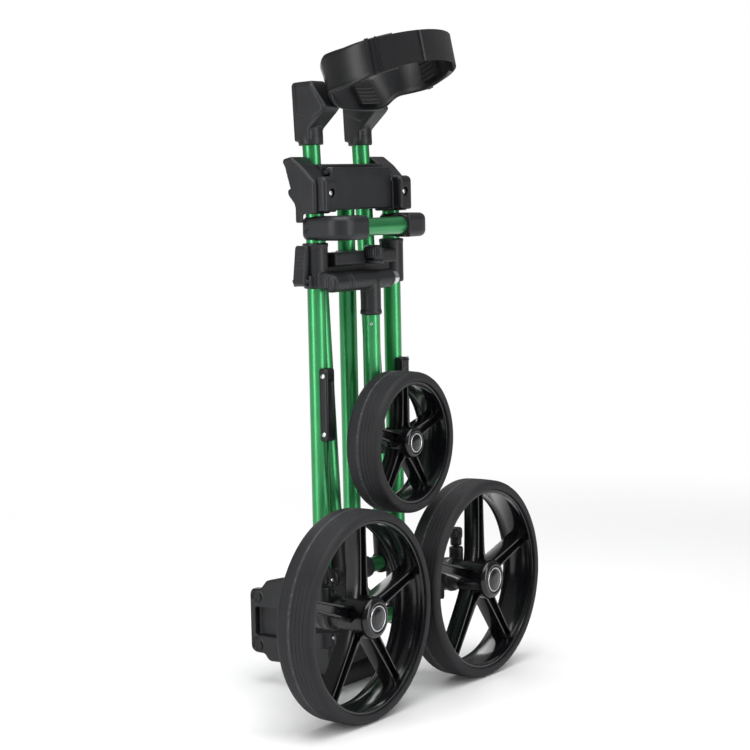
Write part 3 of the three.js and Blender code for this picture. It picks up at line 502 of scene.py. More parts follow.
def tyre_rubber(name, colour):
    """Matt solid rubber: mottled tone, fine pits, a dusty bloom, and a paler seam where the piece's own
    seam attribute says so."""
    g = graph_of(name)
    pits = g.noise(900, 4)
    cloud = g.noise(30, 5)
    bloom = g.noise(220, 6).between(0.42, 0.75)
    base = g.mix(cloud.between(0.3, 0.7), tone(colour, 0.82), tone(colour, 1.15))
    base = g.mix(bloom * 0.22, base, tone(colour, 2.1))
    seam = g.node("ShaderNodeAttribute", {"attribute_name": "seam"}, output="Fac")
    base = g.mix(seam * (0.3 + bloom * 0.6), base, tone(colour, 9))
    return g.finish(Base_Color=base, Roughness=0.55 + pits * 0.16 + bloom * 0.1, Specular_IOR_Level=0.3,
                    Normal=g.bump(pits + seam * 0.8, 1.2e-4, 0.35))


def steel(name, colour):
    """Plated steel: crossed polishing marks and slight clouding."""
    g = graph_of(name)
    marks = g.noise(1800, 3, (1, 0.15, 1))
    cloud = g.noise(140, 4)
    base = g.mix(cloud.between(0.35, 0.7), tone(colour, 0.82), tone(colour, 1.08))
    return g.finish(Base_Color=base, Metallic=1.0, Roughness=0.2 + marks * 0.14,
                    Normal=g.bump(marks, 2e-5, 0.4))


def webbing(name, colour):
    """Woven webbing on the strap's own map, which is in metres: warp and weft ribs, fuzz and worn ridges."""
    g = graph_of(name)
    here = g.node("ShaderNodeUVMap", {"uv_map": "cloth"})
    along = g.node("ShaderNodeSeparateXYZ", inputs={0: here}, output=0)
    across = g.node("ShaderNodeSeparateXYZ", inputs={0: here}, output=1)
    warp = (across * (2 * math.pi / 0.0016)).maths("SINE") * 0.5 + 0.5
    weft = (along * (2 * math.pi / 0.0011)).maths("SINE") * 0.5 + 0.5
    weave = warp * 0.6 + (weft * warp) * 0.4
    fuzz = g.noise(2400, 4)
    cloud = g.noise(45, 4)
    base = g.mix(weave * 0.5 + fuzz * 0.3, tone(colour, 0.55), tone(colour, 1.7))
    base = g.mix(cloud.between(0.4, 0.75) * 0.3, base, tone(colour, 2.0))
    return g.finish(Base_Color=base, Roughness=0.84 + fuzz * 0.1, Sheen_Weight=0.06, Sheen_Roughness=0.5,
                    Specular_IOR_Level=0.25, Normal=g.bump(weave + fuzz * 0.35, 3e-4, 0.7))


MATERIALS = {}


def looks(settings):
    """Makes each finish once."""
    if not MATERIALS:
        colours = settings.colours
        MATERIALS.update({
            "green_up": anodised("Anodised green, upright", colours.anodised, "z"),
            "green_cross": anodised("Anodised green, crosswise", colours.anodised, "x"),
            "plastic": plastic("Charcoal moulding", colours.plastic),
            "plastic_smooth": plastic("Smooth black moulding", tone(colours.plastic, 0.55), 0.3, 0.15, 0.4),
            "gloss": gloss("Gloss black rim", colours.rim),
            "tyre": tyre_rubber("Solid tyre", colours.tyre),
            "rubber": tyre_rubber("Ribbed rubber", tone(colours.tyre, 0.5)),
            "steel": steel("Plated steel", colours.steel),
            "webbing": webbing("Woven webbing", colours.webbing),
        })
    return MATERIALS


# ---------------------------------------------------------------- settings
class TrolleyColours(bpy.types.PropertyGroup):
    """Base colours of the finishes."""

    anodised: FloatVectorProperty(name="Anodised tubes", description="Dyed aluminium of the tubes",
                                  subtype="COLOR", default=(0.040, 0.30, 0.10), min=0, max=1)
    plastic: FloatVectorProperty(name="Moulded plastic", description="Joints, clamps and blocks",
                                 subtype="COLOR", default=(0.0105, 0.011, 0.0125), min=0, max=1)
    rim: FloatVectorProperty(name="Rims", description="Gloss rims, spokes and hubs",
                             subtype="COLOR", default=(0.004, 0.004, 0.005), min=0, max=1)
    tyre: FloatVectorProperty(name="Tyres", description="Solid tyres",
                              subtype="COLOR", default=(0.0115, 0.0115, 0.013), min=0, max=1)
    steel: FloatVectorProperty(name="Steel", description="Screws, washers and axles",
                               subtype="COLOR", default=(0.72, 0.73, 0.75), min=0, max=1)
    webbing: FloatVectorProperty(name="Webbing", description="Cradle strap",
                                 subtype="COLOR", default=(0.005, 0.005, 0.006), min=0, max=1)


class TrolleySizes(bpy.types.PropertyGroup):
    """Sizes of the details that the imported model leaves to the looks."""

    tube_wall: FloatProperty(name="Tube wall", description="Wall of every tube", unit="LENGTH",
                             default=1.5 * MM, min=0.5 * MM, max=3 * MM, precision=4)
    groove_count: IntProperty(name="Tread grooves", description="Fine grooves round a tyre", default=5,
                              min=0, max=9)
    groove_depth: FloatProperty(name="Groove depth", description="Depth of a tread groove", unit="LENGTH",
                                default=0.5 * MM, min=0, max=2 * MM, precision=4)
    screw_radius: FloatProperty(name="Screw head", description="Radius of the screw heads", unit="LENGTH",
                                default=3.4 * MM, min=1 * MM, max=6 * MM, precision=4)
    ring_radius: FloatProperty(name="Cap ring", description="Radius of the bright ring on a hub cap, as a "
                               "share of the cap's", default=0.84, min=0.4, max=0.95)


class TrolleyStage(bpy.types.PropertyGroup):
    """Camera and studio."""

    azimuth: FloatProperty(name="Azimuth", description="Camera's turn about the trolley",
                           subtype="ANGLE", default=math.radians(-54.75))
    elevation: FloatProperty(name="Elevation", description="Camera's height angle", subtype="ANGLE",
                             default=math.radians(5.66))
    roll: FloatProperty(name="Roll", description="Camera's tilt", subtype="ANGLE",
                        default=math.radians(-1.15))
    distance: FloatProperty(name="Distance", description="From the camera to its aim", unit="LENGTH",
                            default=2.6306, min=0.5, max=10)
    lens: FloatProperty(name="Lens", description="Focal length on a 36 mm sensor", default=94.63,
                        min=20, max=200)
    key_power: FloatProperty(name="Key light", description="Power of the large soft light", unit="POWER",
                             default=72, min=0)
    strip_power: FloatProperty(name="Strip lights", description="Power of each upright strip", unit="POWER",
                               default=30, min=0)


class TrolleySettings(bpy.types.PropertyGroup):
    """Everything a user would change."""

    colours: PointerProperty(type=TrolleyColours)
    sizes: PointerProperty(type=TrolleySizes)
    stage: PointerProperty(type=TrolleyStage)


# ---------------------------------------------------------------- frame
class TROLLEY_OT_tubes(bpy.types.Operator):
    """Green tubes of the frame, handle, bag frame and front arm."""

    bl_idname = "trolley.tubes"
    bl_label = "Tubes"

    def execute(self, context):
        settings = context.scene.trolley
        finishes, wall = looks(settings), settings.sizes.tube_wall / MM
        rows = [("main_tube_left", "frame"), ("main_tube_right", "frame"), ("centre_tube", "frame"),
                ("lower_crossbar", "frame"), ("upper_crossbar", "frame"), ("handle_bar", "frame"),
                ("arm_tube", "front_arm")]
        for node, body in rows:
            size, centre = reach(node), middle(node) - (0, Y_SHIFT, 0)
            along = int(np.argmax(size))
            half = np.eye(3)[along] * size[along] / 2
            shell = pipe(centre - half, centre + half, np.sort(size)[1] / 2, wall)
            look = finishes["green_cross" if along == 0 else "green_up"]
            placed(node + "_skin", shell, look, body, [node])
        for name, side in SIDES:
            x = side * BAG_X
            shell = leaned(pipe((x, 0, 19.2), (x, 0, 674.2), TUBE_RADIUS, wall))
            node = f"bag_tube_{name}"
            placed(node + "_skin", shell, finishes["green_up"], "bag_frame", [node])
        return {"FINISHED"}


class TROLLEY_OT_fittings(bpy.types.Operator):
    """Tees, centre socket and tube guards."""

    bl_idname = "trolley.fittings"
    bl_label = "Frame fittings"

    def execute(self, context):
        finishes = looks(context.scene.trolley)
        look, dark = finishes["plastic"], finishes["plastic_smooth"]
        for name, side in SIDES:
            x = side * MAIN_X
            for level, z in (("lower", LOWER_BAR_Z), ("upper", UPPER_BAR_Z)):
                post = rod((x, MAIN_Y, z - TEE_HALF), (x, MAIN_Y, z + TEE_HALF), TUBE_RADIUS + SOCKET_WALL, 2)
                arm = rod((x, MAIN_Y, z), (side * 74, MAIN_Y, z), BAR_RADIUS + 3, 1)
                lip = rod((side * 78, MAIN_Y, z), (side * 74, MAIN_Y, z), BAR_RADIUS + 4.2, 1)
                node = f"{level}_tee_{name}"
                moulded(node + "_skin", [post, arm, lip], look, "frame", [node], 0.9)
            low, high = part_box(f"tube_guard_{name}")
            low, high = np.array(low) / MM - (0, Y_SHIFT, 0), np.array(high) / MM - (0, Y_SHIFT, 0)
            seats = [rod((x + side * 6, low[1] + 6.5, z), (side * 102, low[1] + 6.5, z), 5.2, 0.8)
                     for z in GUARD_SCREWS]
            recess = block((x - 5.5, low[1] - 4, low[2] + 16), (x + 5.5, low[1] + 1.8, high[2] - 16), 2, 2)
            node = f"tube_guard_{name}"
            moulded(node + "_skin", [block(low, high, 4, 3), *seats], dark, "frame", [node], 0.9, 6, [recess])
        collar = rod((-14, MAIN_Y, UPPER_BAR_Z), (14, MAIN_Y, UPPER_BAR_Z), BAR_RADIUS + 5, 2)
        centre_y = middle("centre_tube")[1] - Y_SHIFT
        cup = rod((0, centre_y, UPPER_BAR_Z), (0, centre_y, UPPER_BAR_Z + 45), TUBE_RADIUS + SOCKET_WALL, 2)
        moulded("centre_socket_skin", [collar, cup], look, "frame", ["centre_socket"], 0.9)
        return {"FINISHED"}


class TROLLEY_OT_bracket(bpy.types.Operator):
    """Lower bag bracket, its two pins and the foot bar."""

    bl_idname = "trolley.bracket"
    bl_label = "Bag bracket and foot bar"

    def execute(self, context):
        finishes = looks(context.scene.trolley)
        corners = [(138, 26), (146, 4), (168, 4), (222, 37), (248, 36), (256, 46.5), (280.5, 46.5),
                   (280.5, 142), (261, 142), (250, 155), (222, 162), (192, 165), (140, 112)]
        radii = [3, 5, 8, 12, 10, 6, 13, 13, 8, 8, 12, 18, 6]
        outline = soft_outline(corners, radii)
        shells, pockets = [], []
        for _, side in SIDES:
            shells.append(prism(outline, "x", side * 53, side * 65, 1.5))
            shells += [rod((side * 60, BRACKET_PIN_Y, z), (side * 66.2, BRACKET_PIN_Y, z), 10.8, 1.2)
                       for _, z in BRACKET_PINS]
            pockets.append(block((side * 54.5, 226, 73), (side * 68, 271, 115), 3, 0.5))
        shells.append(block((-61, 146, 40), (61, 156, 128), 2, 1))
        shells += [block((x - 1.6, 150, 44), (x + 1.6, 164, 124), 1, 0.5) for x in (-36, -12, 12, 36)]
        shells.append(block((-40, 124, 76), (40, 150, 110), 4, 2))
        moulded("bag_bracket_skin", shells, finishes["plastic"], "frame", ["bag_bracket"], 1.15, 8, pockets)
        dish = [(9.8, 0), (9.8, 2.0), (9.0, 2.9), (6.2, 2.9), (5.5, 1.8), (0.3, 1.6)]
        for level, z in BRACKET_PINS:
            shank = rod((-66, BRACKET_PIN_Y, z), (66, BRACKET_PIN_Y, z), 4.5)
            heads = [turned(dish, (side * 65.4, BRACKET_PIN_Y, z), (side, 0, 0)) for _, side in SIDES]
            placed(f"bracket_pin_{level}_skin", joined(shank, *heads), finishes["plastic_smooth"], "frame",
                   [f"bracket_pin_{level}"])
        length = reach("foot_bar")[0]
        near = [(10, 0), (12.8, 1.2), (14, 4), (14, 16), (13.2, 17), (13.2, 19), (14, 20)]
        profile = [*near, *[(radius, length - height) for radius, height in near[::-1]]]
        bar = turned(profile, (-length / 2, 155, 14), (1, 0, 0))
        placed("foot_bar_skin", bar, finishes["tyre"], "frame", ["foot_bar"])
        return {"FINISHED"}


class TROLLEY_OT_clamp(bpy.types.Operator):
    """Clamp sleeves, bridge, release button and cam lever."""

    bl_idname = "trolley.clamp"
    bl_label = "Clamp carriage"

    def execute(self, context):
        look = looks(context.scene.trolley)["plastic"]
        foot, top, inner = PIVOT_Z - 8, HANDLE_Z - 20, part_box("arm_tee")[0].x / MM - 1.5
        for name, side in SIDES:
            x = side * MAIN_X
            shells = [rod((x, MAIN_Y, foot), (x, MAIN_Y, top), 17.25, 2.5),
                      rod((x, MAIN_Y, top - 6), (x, MAIN_Y, top), 17.9, 1.5)]
            if side < 0:
                fork = [block((x - 25, y, PIVOT_Z - 5), (x, y + 4.4, PIVOT_Z + 11), 2, 1)
                        for y in (117, 142.6)]
                shells += [
                    *fork,
                    rod((x, PIVOT_Y, PIVOT_Z), (inner, PIVOT_Y, PIVOT_Z), BOSS_RADIUS, 1.5),
                    rod((x - 8, PIVOT_Y, PIVOT_Z), (x + 12, PIVOT_Y, PIVOT_Z), BOSS_RADIUS, 6),
                    rod((inner - 5, PIVOT_Y, PIVOT_Z), (inner, PIVOT_Y, PIVOT_Z), BOSS_RADIUS + 0.8, 1),
                    block((x - 12, PIVOT_Y, foot), (x + 12, MAIN_Y, PIVOT_Z + 14), 2, 2),
                ]
            node = f"clamp_sleeve_{name}"
            moulded(node + "_skin", shells, look, "frame", [node], 0.9)
        self.bridge(look)
        self.lever(look)
        return {"FINISHED"}

    def bridge(self, look):
        """The bar between the sleeves, the button's round seat on it, and the fluted button."""
        low, high, back, front = PIVOT_Z + 7, PIVOT_Z + 41, MAIN_Y - 0.5, MAIN_Y - 22
        section = [(back, low), (back, high), (front, high), (front, SHELF_Z), (MAIN_Y - 9.4, SHELF_Z),
                   (MAIN_Y - 9.4, low)]
        end_x = MAIN_X - 17.6
        bar = prism(soft_outline(section, [1, 2, 3, 2, 1.5, 1]), "x", -end_x, end_x, 0.6)
        seat = rod((BUTTON_X, BUTTON_Y, SHELF_Z), (BUTTON_X, BUTTON_Y, SHELF_Z + 5), 14.5, 1.2)
        neck = block((BUTTON_X - 11, BUTTON_Y, SHELF_Z), (BUTTON_X + 11, front + 2, SHELF_Z + 5), 1, 0.5)
        centre_y = middle("centre_tube")[1] - Y_SHIFT
        collar = rod((0, centre_y, low + 2), (0, centre_y, high), TUBE_RADIUS + SOCKET_WALL, 1.5)
        moulded("clamp_bridge_skin", [bar, seat, neck, collar], look, "frame", ["clamp_bridge"], 1.0)

        rows = [(13.0, 0), (13.5, 0.6), (13.5, 3), (13.5, 6), (13.5, 9), (13.5, 12.5), (13.0, 14.6),
                (11.8, 16.4), (9.6, 17.6), (8.4, 17.2), (5, 16.6), (0.3, 16.4)]
        fluted = [0, 0.4, 1, 1, 1, 1, 0.4, 0, 0, 0, 0, 0]
        cap_foot = SHELF_Z + 8.5
        cap = turned(rows, (BUTTON_X, BUTTON_Y, cap_foot), (0, 0, 1), 144, flutes=24, flute_depth=0.9,
                     fluted=fluted)
        stem = rod((BUTTON_X, BUTTON_Y, SHELF_Z + 4), (BUTTON_X, BUTTON_Y, cap_foot + 2), KNOB_STEM_RADIUS)
        placed("release_button_skin", joined(cap, stem), look, "release_button",
               ["release_button"])

    def lever(self, look):
        """The cam lever: a leaning blade on a round cam, with finger grips down its outer edge."""
        cam_x, cam_z = -MAIN_X - 25, PIVOT_Z + 3
        corners = [(-8, -4), (2, -7), (6.5, 46), (3, 50), (-1, 46)]
        arm = prism(soft_outline(np.add(corners, (cam_x, cam_z)), 2), "y", 122, 142, 1.5)
        cam = rod((cam_x, 122, cam_z), (cam_x, 142, cam_z), 7.2, 1)
        stubs = rod((cam_x, 117.4, cam_z), (cam_x, 146.6, cam_z), 2.5, 0.5)
        grips = []
        for rise in (20, 25, 30, 35):
            grip_x = cam_x - 6.9 + 0.14 * rise
            grips.append(rod((grip_x, 124, cam_z + rise), (grip_x, 140, cam_z + rise), 1.2, 0.5))
        moulded("cam_lever_skin", [arm, cam, stubs, *grips], look, "cam_lever", ["cam_lever"], 0.7, 5)


class TROLLEY_OT_handle(bpy.types.Operator):
    """Handle elbows."""

    bl_idname = "trolley.handle"
    bl_label = "Handle elbows"

    def execute(self, context):
        look = looks(context.scene.trolley)["plastic"]
        half = TUBE_RADIUS + SOCKET_WALL
        out, near, far = MAIN_X + half, HANDLE_Y - half, HANDLE_Y + half
        corners = [(49, near), (out, near), (out, MAIN_Y + half), (MAIN_X - half, MAIN_Y + half),
                   (MAIN_X - half, far + 1), (MAIN_X - 20, far), (49, far)]
        plan = soft_outline(corners, [1, 28, 16.4, 16.4, 5, 3, 1], 9)
        for name, side in SIDES:
            elbow = mirrored(prism(plan, "z", HANDLE_Z - 17, HANDLE_Z + 17, 9, 9), side)
            lip = rod((side * 52, HANDLE_Y, HANDLE_Z), (side * 49, HANDLE_Y, HANDLE_Z), 16.2, 1.2)
            hole_y = MAIN_Y + 4
            hole = rod((side * (out - 2.5), hole_y, HANDLE_Z), (side * (out + 4), hole_y, HANDLE_Z), 3, 0.2)
            node = f"handle_elbow_{name}"
            moulded(node + "_skin", [elbow, lip], look, "frame", [node], 0.9, 12, [hole])
        return {"FINISHED"}


class TROLLEY_OT_head(bpy.types.Operator):
    """Head side blocks with their ears, the bridge behind and the press paddle."""

    bl_idname = "trolley.head"
    bl_label = "Head and paddle"

    def execute(self, context):
        finishes = looks(context.scene.trolley)
        look = finishes["plastic"]
        corners = [(109.5, 686), (109.5, 729), (132, 752), (150, 765), (163, 762), (165, 757), (143, 726),
                   (157, 719), (156, 712), (143.5, 697), (143.5, 686)]
        cheek_outline = soft_outline(corners, [2, 6, 8, 5, 3, 2, 4, 3, 3, 4, 2])
        ear_outline = soft_outline([(96.5, 688), (96.5, 736.5), (113, 736.5), (113, 688)], [2, 9.5, 2, 1])
        for name, side in SIDES:
            cheek = prism(cheek_outline, "x", side * 75, side * 113, 3)
            rear = block((side * 109.4, 131, 674), (side * 113, 143.5, 700), 1.5, 1)
            node = f"head_block_{name}"
            moulded(node + "_skin", [cheek, rear], look, "frame", [node], 1.0, 8)
            bolt_x = side * EAR_BOLT_X
            hole = rod((bolt_x, 90, EAR_BOLT_Z), (bolt_x, 102.5, EAR_BOLT_Z), 6.5, 0.3)
            ear = prism(ear_outline, "x", side * 77, side * 106, 5, 6)
            moulded(f"head_ear_{name}", [ear], look, "frame", [], 0.7, 6, [hole])
        bridge = block((-74.7, MAIN_Y + 0.7, 724), (74.7, MAIN_Y + 9.5, 754), 2.5, 1)
        placed("head_bridge_skin", bridge, look, "frame", ["head_bridge"])

        square = [(-72.5, 690), (72.5, 690), (72.5, 749), (-72.5, 749)]
        plate = prism(soft_outline(square, 6), "y", PADDLE_FRONT_Y, PADDLE_FRONT_Y + 12.5, 2.6, 6)
        axle_y = PADDLE_FRONT_Y + 7
        axle = rod((-80, axle_y, PADDLE_AXLE_Z), (80, axle_y, PADDLE_AXLE_Z), 3)
        paddle = placed("latch_paddle_skin", joined(plate, axle), look, "latch_paddle",
                        ["latch_paddle"])
        panel = soft_outline([(-50, 706), (50, 706), (50, 731), (-50, 731)], 3)
        cut_away(paddle, prism(panel, "y", PADDLE_FRONT_Y - 3, PADDLE_FRONT_Y + 1))
        paddle.data.set_sharp_from_angle(angle=math.radians(35))
        return {"FINISHED"}


# ---------------------------------------------------------------- bag frame
class TROLLEY_OT_bag_frame(bpy.types.Operator):
    """Hinge knuckles and cradle elbows of the bag frame."""

    bl_idname = "trolley.bag_frame"
    bl_label = "Bag frame fittings"

    def execute(self, context):
        look = looks(context.scene.trolley)["plastic"]
        corners = [(17, 612), (17, 694), (-18, 694), (-43.4, 656), (-38, 650), (-11, 627), (-11, 612)]
        outline = soft_outline(corners, [2, 6, 3, 3, 3, 6, 2])
        gusset = soft_outline([(-16, 640), (-38, 654), (-19, 688), (8, 690), (8, 650)], 2)
        for name, side in SIDES:
            x = side * BAG_X
            ring = leaned(rod((x - 13.8, 0, 0), (x + 13.8, 0, 0), 15.2, 1.5))
            cup = leaned(rod((x, 0, 0), (x, 0, 48), TUBE_RADIUS + 2.4, 1.5))
            moulded(f"bag_knuckle_{name}_skin", [ring, cup], look, "bag_frame", [f"bag_knuckle_{name}"], 0.9)
            plate = leaned(prism(outline, "x", x - 17, x + 17, 3))
            sleeve = leaned(rod((x, 0, 606), (x, 0, 650), 17, 1))
            collar = leaned(rod((x, 0, 606), (x, 0, 620), 17.4, 1))
            gussets = [leaned(prism(gusset, "x", x + face - 1.2, x + face + 0.4, 0.4))
                       for face in (-17.4, 17.4)]
            moulded(f"cradle_elbow_{name}_skin", [plate, sleeve, collar, *gussets], look, "bag_frame",
                    [f"cradle_elbow_{name}"], 1.0, 7)
        return {"FINISHED"}


class TROLLEY_OT_cradle(bpy.types.Operator):
    """Cradle ring with its lip, ribbed pads, strap keepers and the two layers of strap."""

    bl_idname = "trolley.cradle"
    bl_label = "Cradle and strap"

    def execute(self, context):
        finishes = looks(context.scene.trolley)
        lip = 3.0
        bead = [(lip * math.cos(turn), -1, 2.0 - lip * math.sin(turn))
                for turn in np.radians(np.linspace(-30, 210, 10))]
        section = [*bead, (-2.4, -0.7, 0), (-2.4, 0, 0), (-2.4, 0.8, 0), (-2.4, 1, -1.2), (-1.4, 1, 0),
                   (1.4, 1, 0), (2.4, 1, -1.2), (2.4, 0.8, 0), (2.4, 0, 0), (2.4, -0.7, 0)]
        placed("cradle_ring_skin", band_skin(-45, 225, section, 220), finishes["plastic_smooth"],
               "bag_frame", ["cradle_ring"], 50)
        self.pads(finishes)
        self.straps(finishes)
        return {"FINISHED"}

    def pads(self, finishes):
        """Pads on the ring's inside: offset deepens by 1.9 * |sin| of the height, which makes the ribs."""
        share = np.linspace(-1, 1, 61)
        inner = -(8.6 + 1.9 * np.abs(np.sin(share * 2.5 * np.pi)))
        face = [(offset, t, -t * 9) for offset, t in zip(inner, share)]
        section = [(-2.6, 1, -9), (-2.6, 0, 0), (-2.6, -1, 9), *face]
        rows = [("cradle_pad_back", 64, 92), ("cradle_pad_left", 181, 200), ("cradle_pad_right", -20, -1)]
        for node, start, end in rows:
            shell = band_skin(start, end, section, 30)
            placed(node + "_skin", shell, finishes["rubber"], "bag_frame", [node])

    def straps(self, finishes):
        """The strap's inner layer, its doubled outer layer with a hemmed end, and the moulded keepers."""
        layers = [("strap_inner", 203, 358, 2.9, 4.2, ("cradle_strap",)),
                  ("strap_outer", 247, 357.6, 4.35, 5.9, ())]
        for name, start, end, inner, outer, nodes in layers:
            shell = band_skin(start, end, slab_section(inner, outer, 1.5, 0.4), 200)
            piece = placed(name, shell, finishes["webbing"], "bag_frame", nodes)
            middle_line = (inner + outer) / 2
            turn = np.radians(np.linspace(start, end, 400))
            line = band_points(turn, middle_line, np.zeros(400), 0.0)
            top = band_points(turn, middle_line, np.ones(400), -1.5)
            foot = band_points(turn, middle_line, -np.ones(400), 1.5)
            self.cloth_map(piece, turn, line)
        keeper = slab_section(2.6, 7.4, -0.8, 0.9)
        shells = [band_skin(start, end, keeper, 10) for start, end in ((201.2, 204.2), (355.2, 359.4))]
        hem = band_skin(247.4, 249.2, slab_section(5.7, 6.9, 1.8, 0.5), 8)
        shells += [band_skin(209.5, 211.0, slab_section(3.9, 5.4, -0.6, 0.5), 8)]
        placed("strap_keepers", joined(*shells), finishes["plastic_smooth"], "bag_frame")
        placed("strap_hem", hem, finishes["plastic_smooth"], "bag_frame")

    def cloth_map(self, piece, turn, line):
        """UV in metres: along the strap by the length of its middle line at a point's angle, and across by
        its height above that line."""
        mesh = piece.data
        spots = np.empty(len(mesh.vertices) * 3)
        mesh.vertices.foreach_get("co", spots)
        spots = spots.reshape(-1, 3) / MM - (0, Y_SHIFT, 0)
        depth, across = (spots[:, 1] - CRADLE_MIDDLE_Y) / CRADLE_DEPTH, spots[:, 0] / CRADLE_RADIUS
        angle = np.mod(np.arctan2(depth, across), 2 * np.pi)
        along = np.concatenate([[0], np.cumsum(np.linalg.norm(np.diff(line, axis=0), axis=1))])
        u = np.interp(angle, turn, along) * MM
        height = (spots[:, 2] - np.interp(angle, turn, line[:, 2])) * MM
        corners = np.empty(len(mesh.loops), int)
        mesh.loops.foreach_get("vertex_index", corners)
        layer = mesh.uv_layers.new(name="cloth")
        layer.data.foreach_set("uv", np.column_stack([u, height])[corners].ravel())


# ---------------------------------------------------------------- wheels
def tyre_shell(radius, width, depth, grooves, groove_depth, centre):
    """A solid tyre's section turned about the axle. The crown falls away to rounded shoulders, and fine
    grooves take groove_depth * sqrt(1 - distance / half width) off it between 17% and 61% of its width."""
    across = np.linspace(9.5, width - 9.5, 201)
    place = (across - width / 2) / (width - 19)
    crown = radius - 1.7 * place ** 2
    rows = np.linspace(0.17, 0.61, max(grooves, 1)) * width
    near = np.abs(across[:, None] - rows).min(1)
    crown = crown - groove_depth * np.clip(1 - near / 0.6, 0, 1) ** 0.5 * (grooves > 0)
    bead = radius - depth + 0.3
    shoulder = [(bead, 1), (bead + 1.2, 0.3), (radius - 9, 0), (radius - 6.5, 0.25), (radius - 4.2, 1.1),
                (radius - 2.3, 2.7), (radius - 1.1, 5), (radius - 0.55, 7.5)]
    far = [(r, width - h) for r, h in shoulder[::-1]]
    profile = [*shoulder, *zip(crown, across), *far, (bead, width / 2)]
    return turned(profile, centre, (0, 1, 0), 168, closed=True)


def seam_on(piece, level):
    """A seam attribute on a tyre: exp(-(distance / 1.7 mm)^2) from a level along the axle."""
    spots = np.empty(len(piece.data.vertices) * 3)
    piece.data.vertices.foreach_get("co", spots)
    distance = spots.reshape(-1, 3)[:, 1] / MM - Y_SHIFT - level
    layer = piece.data.attributes.new("seam", "FLOAT", "POINT")
    layer.data.foreach_set("value", np.exp(-(distance / 1.7) ** 2))


def rim_shell(radius, width, depth, near, far, centre):
    """The rim's barrel: a thin wall set back behind the tyre's edge, with a low step where the spokes
    meet it and a rolled lip at the back."""
    outer, inner = radius - depth, radius - depth - 4
    profile = [(outer, 4.2), (outer - 0.8, 3.4), (inner + 0.6, 3.4), (inner, 4.0), (inner - 0.3, 5.6),
               (inner, 7), (inner + 0.3, near - 2), (inner - 0.6, near), (inner - 0.8, far),
               (inner + 0.3, far + 2), (inner + 0.2, width - 6), (inner - 0.4, width - 4.2),
               (inner - 1.4, width - 2.8), (inner - 1.2, width - 1.2), (inner, width - 0.5),
               (outer - 0.8, width - 0.5), (outer, width - 1.2)]
    return turned(profile, centre, (0, 1, 0), 168, closed=True)


def spoke_shell(hub, outer, near, far, turn, centre):
    """A channel spoke: an H of width 2w and depth d whose face is sunk between two ribs, carried out from
    the hub while w tapers, flares at both roots, and turned to its angle."""
    share = np.linspace(0, 1, 15)
    root = 0.25 * (np.exp(-share * 9) + np.exp(-(1 - share) * 12))
    half = (9.6 - 2.9 * share) * (1 + root)
    section = np.array([(-1, 0.06), (-0.94, 0), (-0.66, 0), (-0.58, 0.07), (-0.52, 0.32), (0.52, 0.32),
                        (0.58, 0.07), (0.66, 0), (0.94, 0), (1, 0.06), (1, 0.94), (0.94, 1), (0.66, 1),
                        (0.58, 0.93), (0.52, 0.72), (-0.52, 0.72), (-0.58, 0.93), (-0.66, 1), (-0.94, 1),
                        (-1, 0.94)])
    radius = hub + (outer - hub) * share
    across = half[:, None] * section[:, 0]
    depth = np.broadcast_to(near + (far - near) * section[:, 1], across.shape)
    out = np.broadcast_to(radius[:, None], across.shape)
    x = across * math.cos(turn) + out * math.sin(turn)
    z = out * math.cos(turn) - across * math.sin(turn)
    return skin(np.stack([x, depth, z], -1) + np.asarray(centre))


def hub_shell(radius, face, back, centre):
    """The hub: its face end rounded over to a seat for the cap, its back end plainly chamfered."""
    turn = np.linspace(0, np.pi / 2, 9)
    over = radius * 0.28
    front = np.column_stack([radius - over + over * np.sin(turn), face + over - over * np.cos(turn)])
    rows = [(radius * 0.66, face + 2.2), (radius * 0.68, face + 0.4), *front, (radius, back - 8),
            (radius - 1.0, back - 7), (radius - 1.0, back - 1.5), (radius - 2.5, back)]
    return turned(rows, centre, (0, 1, 0), 96)


def cap_shell(radius, face, ring, centre):
    """The hub cap: a shallow dome, a groove beside the bright ring's seat, and a raised plain boss."""
    shares = [(1, 4.0), (1, 1.6), (0.97, 0.9), (ring + 0.07, 0.2), (ring + 0.05, 0.7), (ring - 0.05, 0.7),
              (ring - 0.07, 0.1), (0.55, -0.5), (0.5, -0.9), (0.2, -1.1), (0.3 / radius, -1.15)]
    rows = [(radius * share, face + depth) for share, depth in shares]
    return turned(rows, centre, (0, 1, 0), 96)


def ring_shell(radius, face, centre):
    """The cap's bright ring: a small section with bevelled edges, turned about the axle."""
    section = [(-0.75, 0.9), (-0.75, -0.15), (-0.35, -0.4), (0.35, -0.4), (0.75, -0.15), (0.75, 0.9)]
    rows = [(radius + out, face + depth) for out, depth in section]
    return turned(rows, centre, (0, 1, 0), 96, closed=True)


